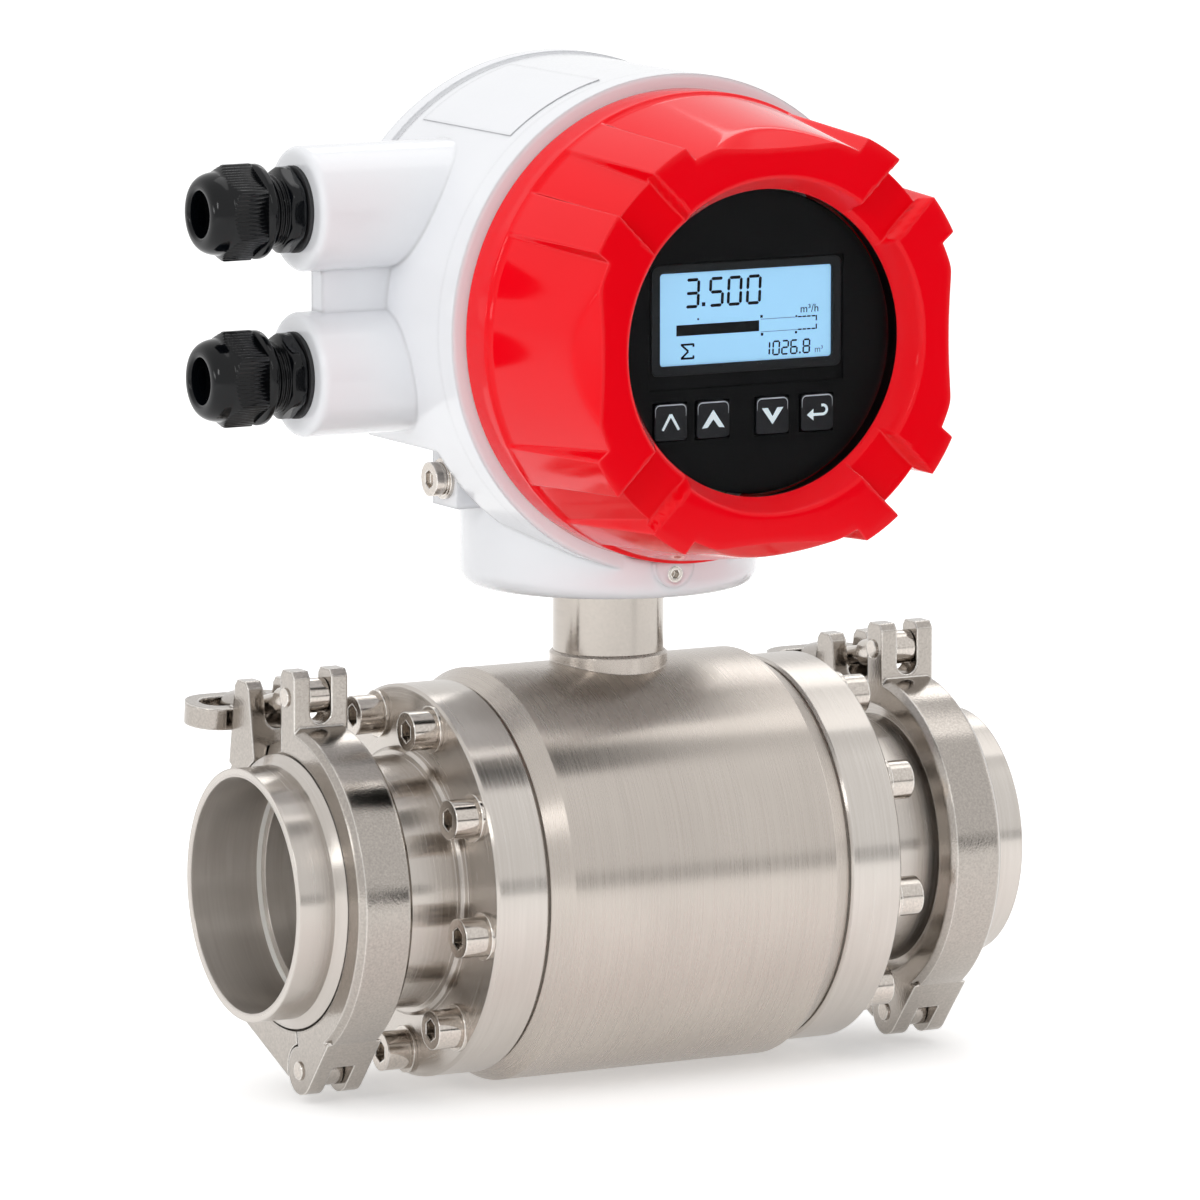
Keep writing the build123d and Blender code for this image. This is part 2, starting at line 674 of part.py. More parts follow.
def head_housing():
    """Cast two-chamber housing with its tower, cable bosses, earth pad and cover-lock boss."""
    body = turned_y([
        (HEAD_FRONT_Y, 0),
        (HEAD_FRONT_Y, HEAD_FRONT_RIM_R),
        (HEAD_FRONT_Y + HEAD_FRONT_RIM_WIDTH, HEAD_FRONT_RIM_R),
        (HEAD_FRONT_Y + HEAD_FRONT_RIM_WIDTH, HEAD_R),
        (HEAD_BACK_Y, HEAD_R),
        (HEAD_BACK_Y, 0),
    ])
    above_floor = HEAD_R + REAR_FLOOR_Z
    body -= block(-HEAD_R - 1, HEAD_R + 1, PARTITION_Y + PARTITION, HEAD_BACK_Y + 1, 0, REAR_FLOOR_Z)
    tower = cyl_z(TOWER_R, TOWER_BOTTOM_Z, REAR_FLOOR_Z + TOWER_TOP_LAP)
    tower = fillet(tower.edges().group_by(Axis.Z)[0], TOWER_EDGE)
    tower -= cyl_y(COVER_RIM_R + 2 * MOVING_GAP, -HEAD_R, HEAD_FRONT_Y, 0, HEAD_Z)
    tower -= block(-TOWER_R, TOWER_R, HEAD_BACK_Y, TOWER_R + 1, REAR_FLOOR_Z, above_floor)
    body += tower
    for z in gland_heights():
        boss = cyl_x(BOSS_R, BOSS_END_X, 0, GLAND_Y, z)
        body += fillet(boss.edges().group_by(Axis.X)[0], BOSS_EDGE)
    low, high = gland_heights()
    half_web = WEB_THICKNESS / 2
    body += block(BOSS_END_X + WEB_SETBACK, 0, GLAND_Y - half_web, GLAND_Y + half_web, low, high)
    earth_pad = block(
        EARTH_PAD_X, 0,
        EARTH_Y - EARTH_PAD_WIDTH / 2, EARTH_Y + EARTH_PAD_WIDTH / 2,
        EARTH_Z - EARTH_PAD_BELOW, EARTH_Z + EARTH_PAD_ABOVE,
    )
    body += earth_pad
    lock_face = -TOWER_R - LOCK_BOSS_RISE
    lock_boss = cyl_y(LOCK_BOSS_R, lock_face, -TOWER_R / 2, LOCK_X, LOCK_Z)
    body += lock_boss - cyl_y(COVER_RIM_R + 2 * MOVING_GAP, lock_face - 1, HEAD_FRONT_Y, 0, HEAD_Z)
    pad = turned_y([
        (-PAD_HALF_LENGTH, HEAD_BORE_R),
        (-PAD_HALF_LENGTH, HEAD_R + PAD_RISE),
        (PAD_HALF_LENGTH, HEAD_R + PAD_RISE),
        (PAD_HALF_LENGTH, HEAD_BORE_R),
    ], PAD_ANGLE_SWEEP)
    body += about_head(pad, PAD_ANGLE_FROM + PAD_ANGLE_SWEEP)

    front_chamber = cyl_y(HEAD_BORE_R, HEAD_FRONT_Y - 1, PARTITION_Y, 0, HEAD_Z)
    rear_chamber = rear_section(HEAD_BORE_R, PARTITION_Y + PARTITION, HEAD_BACK_Y + 1, REAR_FLOOR_THICKNESS)
    body -= front_chamber
    body -= rear_chamber
    body -= cyl_z(NECK_R, TOWER_BOTTOM_Z - 1, TOWER_BOTTOM_Z + NECK_ENTRY)
    cavity_floor = TOWER_BOTTOM_Z + TOWER_FLOOR
    body -= cyl_z(NECK_R - NECK_WALL, TOWER_BOTTOM_Z, cavity_floor + MOVING_GAP)
    cavity = cyl_z(TOWER_BORE_R, cavity_floor, REAR_FLOOR_Z + REAR_FLOOR_THICKNESS + 1)
    cavity_front = PARTITION_Y + 2 * PARTITION
    cavity -= block(-TOWER_R, TOWER_R, -TOWER_R, cavity_front, TOWER_BOTTOM_Z, HEAD_Z)
    cavity -= block(
        -TOWER_R, TOWER_R, HEAD_BACK_Y - HOUSING_WALL, TOWER_R, REAR_FLOOR_Z - HOUSING_WALL, HEAD_Z,
    )
    body -= cavity
    for x, z in rear_screw_places():
        body -= cyl_y(REAR_SCREW_R, HEAD_BACK_Y - REAR_SCREW_GRIP - MOVING_GAP, HEAD_BACK_Y + 1, x, z)
    body -= cyl_y(WIRE_HOLE_R, PARTITION_Y - 1, cavity_front + 1, 0, HEAD_Z - HEAD_BORE_R / 2)
    for z in gland_heights():
        body -= cyl_x(GLAND_THREAD_R + HOLE_GAP, BOSS_END_X - 1, -HEAD_BORE_R / 2, GLAND_Y, z)
    body -= cyl_x(EARTH_SCREW_R, EARTH_PAD_X - 1, EARTH_PAD_X + EARTH_HOLE_DEPTH, EARTH_Y, EARTH_Z)
    lock_z = LOCK_Z - LOCK_SCREW_DROP
    body -= cyl_y(LOCK_SCREW_R, lock_face - 1, lock_face + LOCK_SCREW_LENGTH, LOCK_X, lock_z)
    return body


def lock_screw():
    """Grub screw that locks the front cover."""
    face = -TOWER_R - LOCK_BOSS_RISE
    z = LOCK_Z - LOCK_SCREW_DROP
    screw = cyl_y(LOCK_SCREW_R, face, face + LOCK_SCREW_LENGTH, LOCK_X, z)
    depth = LOCK_SCREW_SOCKET_DEPTH
    socket = Plane.XZ * RegularPolygon(LOCK_SCREW_SOCKET / math.sqrt(3), 6)
    return screw - Pos(LOCK_X, face + depth, z) * extrude(socket, 2 * depth)


def earth_screw():
    """Socket-head screw of the outside earth terminal."""
    seat = EARTH_PAD_X - EARTH_WASHER - EARTH_SPRING
    tip = EARTH_PAD_X + EARTH_HOLE_DEPTH - 1
    screw = cyl_x(EARTH_SCREW_R, seat, tip, EARTH_Y, EARTH_Z)
    screw += cyl_x(EARTH_HEAD_R, seat - EARTH_HEAD, seat, EARTH_Y, EARTH_Z)
    socket_corner_r = EARTH_SOCKET / math.sqrt(3)
    head_face = seat - EARTH_HEAD
    return screw - hex_x(socket_corner_r, head_face - 1, head_face + EARTH_SOCKET_DEPTH, EARTH_Y, EARTH_Z)


def earth_washers():
    """Plain washer and spring washer of the earth terminal."""
    middle = EARTH_PAD_X - EARTH_WASHER
    outer = middle - EARTH_SPRING
    hole = cyl_x(EARTH_SCREW_R + HOLE_GAP, outer - 1, EARTH_PAD_X + 1, EARTH_Y, EARTH_Z)
    plain = cyl_x(EARTH_WASHER_R, middle, EARTH_PAD_X, EARTH_Y, EARTH_Z) - hole
    spring = cyl_x(EARTH_SPRING_R, outer, middle, EARTH_Y, EARTH_Z) - hole
    return [plain, spring]


# Covers

def spigot_groove(y):
    """Space for an O-ring round a cover's spigot, centred on a station."""
    top = HEAD_BORE_R - THREAD_GAP
    return turned_y([
        (y - O_RING_WIRE_R, top - 2 * O_RING_WIRE_R),
        (y - O_RING_WIRE_R, top + 1),
        (y + O_RING_WIRE_R, top + 1),
        (y + O_RING_WIRE_R, top - 2 * O_RING_WIRE_R),
    ])


def cover_o_ring(y):
    """O-ring in a cover's groove."""
    ring_r = HEAD_BORE_R - THREAD_GAP - O_RING_WIRE_R
    return Pos(0, y, HEAD_Z) * Rot(90, 0, 0) * Torus(ring_r, O_RING_WIRE_R)


def front_cover():
    """Screwed cover with four lobes, gripping ridges, key notches and scallops."""
    spigot_r = HEAD_BORE_R - THREAD_GAP
    rim_end = COVER_BACK_Y - COVER_RIM_WIDTH
    cone_start = rim_end - COVER_STEP_LENGTH
    cone_r = COVER_RIM_R - COVER_STEP
    glass_back = GLASS_FRONT_Y + GLASS_THICKNESS
    ring_back = glass_back + GLASS_RING_THICKNESS
    cover = turned_y([
        (COVER_FRONT_Y, FACE_INNER_R),
        (COVER_FRONT_Y, COVER_FACE_R),
        (cone_start, cone_r),
        (rim_end, COVER_RIM_R),
        (COVER_BACK_Y, COVER_RIM_R),
        (COVER_BACK_Y, spigot_r),
        (COVER_BACK_Y + COVER_SPIGOT, spigot_r),
        (COVER_BACK_Y + COVER_SPIGOT, COVER_INNER_R),
        (ring_back, COVER_INNER_R),
        (ring_back, GLASS_R),
        (GLASS_FRONT_Y, GLASS_R),
        (GLASS_FRONT_Y, WINDOW_R),
        (WINDOW_BEVEL_Y, WINDOW_R),
    ])
    cover -= spigot_groove(COVER_BACK_Y + O_RING_SETBACK)
    lobe_step = 360.0 / LOBE_COUNT
    ridge = turned_y([
        (COVER_FRONT_Y, COVER_FACE_R - 1),
        (COVER_FRONT_Y, RIDGE_R),
        (cone_start, cone_r + RIDGE_RISE_AT_RIM),
        (cone_start, COVER_FACE_R - 1),
    ], RIDGE_SWEEP)
    # A turned sector starts at +X and runs down, so it is turned back by its own sweep.
    for lobe in range(LOBE_COUNT):
        middle = lobe * lobe_step
        cover += about_head(ridge, middle + RIDGE_FROM + RIDGE_SWEEP)
        cover += about_head(ridge, middle - RIDGE_FROM)
    notch = block(
        WINDOW_R, COVER_RIM_R + 1, COVER_FRONT_Y - 1, COVER_FRONT_Y + NOTCH_DEPTH,
        HEAD_Z - NOTCH_WIDTH / 2, HEAD_Z + NOTCH_WIDTH / 2,
    )
    slope = math.tan(math.radians(SCALLOP_SLOPE))
    scallop = Cone(SCALLOP_R + slope, SCALLOP_R - slope * SCALLOP_DEPTH, SCALLOP_DEPTH + 1)
    scallop_y = COVER_FRONT_Y + (SCALLOP_DEPTH - 1) / 2
    scallop = Pos(SCALLOP_MIDDLE_R + SCALLOP_R, scallop_y, HEAD_Z) * Rot(-90, 0, 0) * scallop
    for lobe in range(LOBE_COUNT):
        cover -= about_head(notch, (lobe + 0.5) * lobe_step)
        cover -= about_head(scallop, lobe * lobe_step)
    return cover


def window_glass():
    """Round glass of the front cover."""
    return cyl_y(GLASS_R, GLASS_FRONT_Y, GLASS_FRONT_Y + GLASS_THICKNESS, 0, HEAD_Z)


def glass_ring():
    """Threaded ring that holds the glass in the cover."""
    start = GLASS_FRONT_Y + GLASS_THICKNESS
    end = start + GLASS_RING_THICKNESS
    ring = cyl_y(GLASS_R, start, end, 0, HEAD_Z)
    return ring - cyl_y(GLASS_R - GLASS_RING_WIDTH, start - 1, end + 1, 0, HEAD_Z)


def rear_cover():
    """Flat-bottomed cover of the terminal chamber, held by screws."""
    face = HEAD_BACK_Y + REAR_GASKET
    back = face + REAR_COVER_DEPTH
    spigot_r = HEAD_BORE_R - THREAD_GAP
    inner_r = spigot_r - REAR_SPIGOT_WALL
    cover = turned_y([
        (face, 0),
        (face, REAR_COVER_R),
        (back - REAR_COVER_EDGE, REAR_COVER_R),
        (back, REAR_COVER_R - REAR_COVER_EDGE),
        (back, 0),
    ])
    cover -= block(-HEAD_R - 1, HEAD_R + 1, face - 1, back + 1, 0, REAR_FLOOR_Z + COVER_GAP)
    spigot_floor = REAR_FLOOR_THICKNESS + THREAD_GAP
    cover += rear_section(spigot_r, face - REAR_SPIGOT, face, spigot_floor)
    inner_floor = spigot_floor + REAR_SPIGOT_WALL
    cover -= rear_section(inner_r, face - REAR_SPIGOT - 1, back - REAR_FLOOR, inner_floor)
    for x, z in rear_screw_places():
        cover -= cyl_y(REAR_SCREW_R + HOLE_GAP, face - 1, back + 1, x, z)
        cover -= cyl_y(REAR_SCREW_HEAD_R + HOLE_GAP, back - REAR_COVER_EDGE - REAR_SCREW_HEAD, back + 1, x, z)
    return cover


def rear_gasket():
    """Gasket between the housing and the rear cover."""
    outer_r = HEAD_R - REAR_GASKET_INSET
    gasket = rear_section(outer_r, HEAD_BACK_Y, HEAD_BACK_Y + REAR_GASKET, COVER_GAP)
    gasket -= rear_section(HEAD_BORE_R, HEAD_BACK_Y - 1, HEAD_BACK_Y + REAR_GASKET + 1, REAR_FLOOR_THICKNESS)
    for x, z in rear_screw_places():
        gasket -= cyl_y(REAR_SCREW_R + HOLE_GAP, HEAD_BACK_Y - 1, HEAD_BACK_Y + REAR_GASKET + 1, x, z)
    return gasket


def rear_screws():
    """Socket-head screws of the rear cover."""
    seat = HEAD_BACK_Y + REAR_GASKET + REAR_COVER_DEPTH - REAR_COVER_EDGE - REAR_SCREW_HEAD
    top = seat + REAR_SCREW_HEAD
    screws = []
    for x, z in rear_screw_places():
        screw = cyl_y(REAR_SCREW_R, HEAD_BACK_Y - REAR_SCREW_GRIP, seat, x, z)
        screw += cyl_y(REAR_SCREW_HEAD_R, seat, top, x, z)
        socket = Plane.XZ * RegularPolygon(REAR_SCREW_SOCKET / math.sqrt(3), 6)
        screws.append(screw - Pos(x, top, z) * extrude(socket, REAR_SCREW_SOCKET_DEPTH))
    return screws


# Display and electronics

def around_head(radius):
    """Four (x, z) places round the head's axis, right, up, left and down."""
    return [(radius, HEAD_Z), (0, HEAD_Z + radius), (-radius, HEAD_Z), (0, HEAD_Z - radius)]


def display_frame():
    """Display carrier: face plate with a window, key openings and a cup behind it."""
    plate_back = DISPLAY_FACE_Y + DISPLAY_PLATE
    cup_back = plate_back + DISPLAY_CUP_DEPTH
    frame = cyl_y(DISPLAY_R, DISPLAY_FACE_Y, cup_back, 0, HEAD_Z)
    frame -= cyl_y(DISPLAY_R - DISPLAY_CUP_WALL, plate_back, cup_back + 1, 0, HEAD_Z)
    half_width = LCD_WIDTH / 2
    half_height = LCD_HEIGHT / 2
    frame -= block(
        LCD_X - half_width - FRAME_SIDE, LCD_X + half_width + FRAME_SIDE,
        DISPLAY_FACE_Y - 1, DISPLAY_FACE_Y + FRAME_DEPTH,
        LCD_Z - half_height - FRAME_BELOW, LCD_Z + half_height + FRAME_ABOVE,
    )
    frame -= block(
        LCD_X - half_width, LCD_X + half_width, DISPLAY_FACE_Y - 1, plate_back + 1,
        LCD_Z - half_height, LCD_Z + half_height,
    )
    reach = KEY_SIZE / 2 + MOVING_GAP
    for x in KEY_X:
        frame -= block(x - reach, x + reach, DISPLAY_FACE_Y - 1, plate_back + 1, KEY_Z - reach, KEY_Z + reach)
    for x, z in around_head(POST_CIRCLE_R):
        frame += cyl_y(POST_R, plate_back, plate_back + DISPLAY_BOARD_GAP, x, z)
    return frame


def lcd_panel():
    """Display glass with its body behind the face plate."""
    plate_back = DISPLAY_FACE_Y + DISPLAY_PLATE
    half_width = LCD_WIDTH / 2
    half_height = LCD_HEIGHT / 2
    panel = block(
        LCD_X - half_width, LCD_X + half_width, DISPLAY_FACE_Y + FRAME_DEPTH + LCD_RECESS, plate_back,
        LCD_Z - half_height, LCD_Z + half_height,
    )
    return panel + block(
        LCD_X - half_width - LCD_MARGIN, LCD_X + half_width + LCD_MARGIN,
        plate_back, plate_back + LCD_THICKNESS,
        LCD_Z - half_height - LCD_MARGIN, LCD_Z + half_height + LCD_MARGIN,
    )


def key_cap(x):
    """Push key with a retaining flange and a stem."""
    half = KEY_SIZE / 2
    plate_back = DISPLAY_FACE_Y + DISPLAY_PLATE
    rest = plate_back + RUNNING_FIT
    cap = block(x - half, x + half, DISPLAY_FACE_Y - KEY_RISE, rest, KEY_Z - half, KEY_Z + half)
    cap = fillet(cap.edges().filter_by(Axis.Y), KEY_EDGE)
    reach = half + KEY_FLANGE
    back = rest + KEY_FLANGE_THICKNESS
    flange = block(x - reach, x + reach, rest, back, KEY_Z - reach, KEY_Z + reach)
    inside_r = DISPLAY_R - DISPLAY_CUP_WALL - 2 * MOVING_GAP
    cap += flange & cyl_y(inside_r, rest - 1, back + 1, 0, HEAD_Z)
    stem = KEY_STEM / 2
    return cap + block(x - stem, x + stem, back, back + KEY_STEM_LENGTH, KEY_Z - stem, KEY_Z + stem)


def display_board():
    """Circuit board behind the display, with a switch under each key."""
    plate_back = DISPLAY_FACE_Y + DISPLAY_PLATE
    front = plate_back + DISPLAY_BOARD_GAP
    board_r = DISPLAY_R - DISPLAY_CUP_WALL - MOVING_GAP
    board = cyl_y(board_r, front, front + BOARD_THICKNESS, 0, HEAD_Z)
    stem_end = plate_back + RUNNING_FIT + KEY_FLANGE_THICKNESS + KEY_STEM_LENGTH
    switch_top = stem_end + KEY_TRAVEL + 2 * RUNNING_FIT
    for x in KEY_X:
        board += block(x - KEY_STEM, x + KEY_STEM, switch_top, front, KEY_Z - KEY_STEM, KEY_Z + KEY_STEM)
    return board


def board_posts():
    """Posts that carry the display on the main board and the main board on the partition."""
    display_back = DISPLAY_FACE_Y + DISPLAY_PLATE + DISPLAY_BOARD_GAP + BOARD_THICKNESS
    posts = [cyl_y(POST_R, display_back, MAIN_BOARD_Y, x, z) for x, z in around_head(POST_CIRCLE_R)]
    back = MAIN_BOARD_Y + BOARD_THICKNESS
    return posts + [cyl_y(POST_R, back, PARTITION_Y, x, z) for x, z in around_head(POST_CIRCLE_R)]


def main_board():
    """Main circuit board with a transformer and a processor shield."""
    board = cyl_y(MAIN_BOARD_R, MAIN_BOARD_Y, MAIN_BOARD_Y + BOARD_THICKNESS, 0, HEAD_Z)
    board += block(
        -TRANSFORMER_LEFT, TRANSFORMER_RIGHT, MAIN_BOARD_Y - TRANSFORMER_DEPTH, MAIN_BOARD_Y,
        HEAD_Z - TRANSFORMER_HEIGHT, HEAD_Z,
    )
    return board + block(
        -SHIELD_LEFT, SHIELD_RIGHT, MAIN_BOARD_Y - SHIELD_DEPTH, MAIN_BOARD_Y,
        HEAD_Z + SHIELD_BOTTOM, HEAD_Z + SHIELD_TOP,
    )


def terminal_places():
    """X places of the terminals."""
    pitch = TERMINAL_WIDTH / TERMINAL_WAYS
    return [(index - (TERMINAL_WAYS - 1) / 2) * pitch for index in range(TERMINAL_WAYS)]


def terminal_block():
    """Connection block in the rear chamber, with wire entries below and screw holes behind."""
    foot = PARTITION_Y + PARTITION
    face = foot + TERMINAL_DEPTH
    half = TERMINAL_WIDTH / 2
    body = block(-half, half, foot, face, TERMINAL_Z, TERMINAL_Z + TERMINAL_HEIGHT)
    middle_z = TERMINAL_Z + TERMINAL_HEIGHT / 2
    wire_y = foot + TERMINAL_DEPTH / 3
    for x in terminal_places():
        body -= cyl_y(TERMINAL_HOLE_R, foot + TERMINAL_DEPTH / 2, face + 1, x, middle_z)
        body -= cyl_z(TERMINAL_HOLE_R, TERMINAL_Z - 1, middle_z, x, wire_y)
    return body


def terminal_screws():
    """One clamping screw for each terminal."""
    foot = PARTITION_Y + PARTITION
    middle_z = TERMINAL_Z + TERMINAL_HEIGHT / 2
    start = foot + TERMINAL_DEPTH / 2
    end = foot + TERMINAL_DEPTH - 1
    return [cyl_y(TERMINAL_HOLE_R, start, end, x, middle_z) for x in terminal_places()]


def signal_cable():
    """Cable from the sensor to the head, through the neck."""
    return cyl_z(CABLE_R, YOKE_R + MOVING_GAP, CABLE_TOP_Z, 0, CABLE_Y)


# Cable glands

def gland_seal(z):
    """Flat ring under the gland."""
    end = BOSS_END_X - GLAND_SEAL_THICKNESS
    ring = cyl_x(GLAND_SEAL_R, end, BOSS_END_X, GLAND_Y, z)
    return ring - cyl_x(GLAND_THREAD_R, end - 1, BOSS_END_X + 1, GLAND_Y, z)


def gland_body(z):
    """Threaded hexagonal body of a cable gland."""
    hex_start = BOSS_END_X - GLAND_SEAL_THICKNESS
    hex_end = hex_start - GLAND_HEX_LENGTH
    body = cyl_x(GLAND_THREAD_R, BOSS_END_X + GLAND_THREAD_LENGTH, hex_start, GLAND_Y, z)
    body += hex_x(GLAND_HEX_R, hex_end, hex_start, GLAND_Y, z)
    neck_end = hex_end - GLAND_NECK_LENGTH
    body += cyl_x(GLAND_NECK_R, neck_end, hex_end, GLAND_Y, z)
    return body - cyl_x(GLAND_BORE_R, neck_end - 1, BOSS_END_X + GLAND_THREAD_LENGTH + 1, GLAND_Y, z)


def gland_insert(z):
    """Rubber insert that closes on the cable."""
    outer = BOSS_END_X - GLAND_SEAL_THICKNESS - GLAND_HEX_LENGTH - GLAND_NECK_LENGTH
    insert = cyl_x(GLAND_BORE_R, outer, outer + INSERT_LENGTH, GLAND_Y, z)
    return insert - cyl_x(INSERT_HOLE_R, outer - 1, outer + INSERT_LENGTH + 1, GLAND_Y, z)


def gland_cap(z):
    """Cap nut with a collar, a hexagon and a rounded mouth."""
    start = BOSS_END_X - GLAND_SEAL_THICKNESS - GLAND_HEX_LENGTH - CAP_START
    hex_start = start - CAP_COLLAR_LENGTH
    hex_end = hex_start - CAP_HEX_LENGTH
    tip = hex_end - CAP_DOME_LENGTH
    cap = cyl_x(CAP_COLLAR_R, hex_start, start, GLAND_Y, z)
    cap += hex_x(CAP_HEX_R, hex_end, hex_start, GLAND_Y, z)
    outline = Polyline((tip, CAP_TIP_R), (tip, 0), (hex_end, 0), (hex_end, CAP_DOME_R))
    shoulder = (hex_end - 0.7 * CAP_DOME_LENGTH, 0.45 * CAP_DOME_R + 0.55 * CAP_TIP_R + 0.9)
    arc = ThreePointArc((hex_end, CAP_DOME_R), shoulder, (tip, CAP_TIP_R))
    cap += Pos(0, GLAND_Y, z) * revolve(make_face([outline, arc]), Axis.X)
    neck_end = BOSS_END_X - GLAND_SEAL_THICKNESS - GLAND_HEX_LENGTH - GLAND_NECK_LENGTH
    cap -= cyl_x(GLAND_NECK_R + THREAD_GAP, neck_end - THREAD_GAP, start + 1, GLAND_Y, z)
    return cap - cyl_x(CAP_OPENING_R, tip - 1, start + 1, GLAND_Y, z)


# Clamps

def clamp_ring(x, region):
    """The part of a full clamp disc that lies in a region, before its groove is cut."""
    half = CLAMP_WIDTH / 2
    disc = turned_x([
        (-half, 0),
        (-half, CLAMP_BEVEL_R),
        (-half + CLAMP_BEVEL_WIDTH, CLAMP_R),
        (half - CLAMP_BEVEL_WIDTH, CLAMP_R),
        (half, CLAMP_BEVEL_R),
        (half, 0),
    ])
    return Pos(x, 0, 0) * (disc & slab_yz(region, -CLAMP_WIDTH, CLAMP_WIDTH))


def clamp_groove(x):
    """The bore and the sloping groove round a pair of ferrules."""
    half = CLAMP_WIDTH / 2 + 1
    side_gap = GROOVE_GAP / math.cos(math.radians(FERRULE_SLOPE))
    root_half = FERRULE_RIM + GASKET_THICKNESS / 2 + side_gap
    root_r = FERRULE_R + GROOVE_ROOT_GAP
    lip_half = root_half + (FERRULE_R - CLAMP_LIP_R) * SLOPE_TAN
    groove = turned_x([
        (-half, 0), (-half, CLAMP_LIP_R), (-lip_half, CLAMP_LIP_R), (-root_half, root_r),
        (root_half, root_r), (lip_half, CLAMP_LIP_R), (half, CLAMP_LIP_R), (half, 0),
    ])
    return Pos(x, 0, 0) * groove


def clamp_slab(x, outline, width=CLAMP_WIDTH):
    """A plate of a clamp, centred on its middle plane."""
    return Pos(x, 0, 0) * slab_yz(outline, -width / 2, width / 2)


def clamp_front_half(x):
    """Front half with the bolt's fork above and the hinge's fork below."""
    half = CLAMP_WIDTH / 2
    body = clamp_ring(x, FRONT_HALF_REGION) + clamp_slab(x, FORK_OUTLINE) + clamp_slab(x, LUG_OUTLINE)
    body += cyl_x(HINGE_R, x - half, x + half, HINGE_Y, HINGE_Z)
    body -= clamp_groove(x)
    slot_bottom = FORK_SLOT_BOTTOM_Z
    fork_slot = block(
        x - FORK_SLOT / 2, x + FORK_SLOT / 2, -FORK_CUT_REACH, FORK_CUT_REACH, slot_bottom, CLAMP_CUT_REACH,
    )
    body -= fork_slot + cyl_y(FORK_SLOT / 2, -FORK_CUT_REACH, FORK_CUT_REACH, x, slot_bottom)
    half_slot = HINGE_SLOT / 2
    pocket = block(
        x - half_slot, x + half_slot, POCKET_FRONT_Y, HINGE_R, -CLAMP_CUT_REACH, HINGE_Z + KNUCKLE_R / 2,
    )
    pocket += cyl_x(KNUCKLE_R + 2 * MOVING_GAP, x - half_slot, x + half_slot, HINGE_Y, HINGE_Z)
    body -= pocket + clamp_slab(x, HINGE_CLEAR_OUTLINE, HINGE_SLOT)
    body -= cyl_x(CLAMP_PIN_R, x - half - 1, x + half + 1, HINGE_Y, HINGE_Z)
    return body - cyl_x(CLAMP_PIN_R, x - half - 1, x + half + 1, TOP_PIN_Y, TOP_PIN_Z)


def clamp_rear_half(x):
    """Rear half with the slotted ear above and the hinge's knuckle below."""
    half = CLAMP_WIDTH / 2
    body = clamp_ring(x, REAR_HALF_REGION) + clamp_slab(x, EAR_OUTLINE) + clamp_slab(x, HEEL_OUTLINE)
    body -= cyl_x(HINGE_R + 2 * MOVING_GAP, x - half - 1, x + half + 1, HINGE_Y, HINGE_Z)
    body &= Pos(x, 0, 0) * slab_yz(REAR_HALF_REGION, -half - 1, half + 1)
    body += clamp_slab(x, HEEL_OUTLINE, KNUCKLE_WIDTH)
    body += cyl_x(KNUCKLE_R, x - KNUCKLE_WIDTH / 2, x + KNUCKLE_WIDTH / 2, HINGE_Y, HINGE_Z)
    body -= clamp_groove(x)
    ear_slot = block(
        x - EAR_SLOT / 2, x + EAR_SLOT / 2, EAR_CUT_FRONT_Y, EAR_CUT_BACK_Y,
        EAR_SLOT_BOTTOM_Z, CLAMP_CUT_REACH,
    )
    body -= ear_slot + cyl_y(EAR_SLOT / 2, EAR_CUT_FRONT_Y, EAR_CUT_BACK_Y, x, EAR_SLOT_BOTTOM_Z)
    return body - cyl_x(CLAMP_PIN_R + RUNNING_FIT, x - half - 1, x + half + 1, HINGE_Y, HINGE_Z)


def clamp_pins(x):
    """The hinge pin and the bolt's pin."""
    reach = CLAMP_WIDTH / 2 + CLAMP_PIN_PROUD
    places = ((HINGE_Y, HINGE_Z), (TOP_PIN_Y, TOP_PIN_Z))
    return [cyl_x(CLAMP_PIN_R, x - reach, x + reach, y, z) for y, z in places]


def along_bolt(x, shape):
    """Put a shape that was made along +Z from the pin onto the swing bolt's axis."""
    return Pos(x, TOP_PIN_Y, TOP_PIN_Z) * Rot(-90 - BOLT_DROP, 0, 0) * shape


def swing_bolt(x):
    """Eye bolt with a thicker barrel next to the eye."""
    eye_width = FORK_SLOT - 2 * MOVING_GAP
    bolt = cyl_x(EYE_R, -eye_width / 2, eye_width / 2)
    bolt += cyl_z(BOLT_R, 0, BOLT_LENGTH)
    bolt += cyl_z(BARREL_R, BARREL_START, BARREL_START + BARREL_LENGTH)
    bolt -= cyl_x(CLAMP_PIN_R + RUNNING_FIT, -eye_width, eye_width)
    return along_bolt(x, bolt)


def wing_nut(x):
    """Nut with two closed wing loops."""
    nose_end = NUT_START + NUT_NOSE
    nut = cyl_z(NUT_HUB_R, nose_end, NUT_START + NUT_HUB_LENGTH)
    nut += Pos(0, 0, NUT_START + NUT_NOSE / 2) * Cone(NUT_NOSE_R, NUT_HUB_R, NUT_NOSE)
    outer = extrude(SlotOverall(2 * WING_HALF_SPAN, 2 * WING_HALF_DEPTH), WING_THICKNESS / 2, both=True)
    inner_span = 2 * (WING_HALF_SPAN - WING_BAR)
    inner = extrude(SlotOverall(inner_span, 2 * (WING_HALF_DEPTH - WING_BAR)), WING_THICKNESS, both=True)
    wings = Pos(0, 0, WING_CENTRE) * Rot(90 + WING_TILT, 0, 0) * (outer - inner)
    nut += wings
    nut -= cyl_z(BOLT_R + THREAD_GAP, NUT_START - 1, WING_CENTRE + 2 * WING_HALF_DEPTH)
    return along_bolt(x, nut)


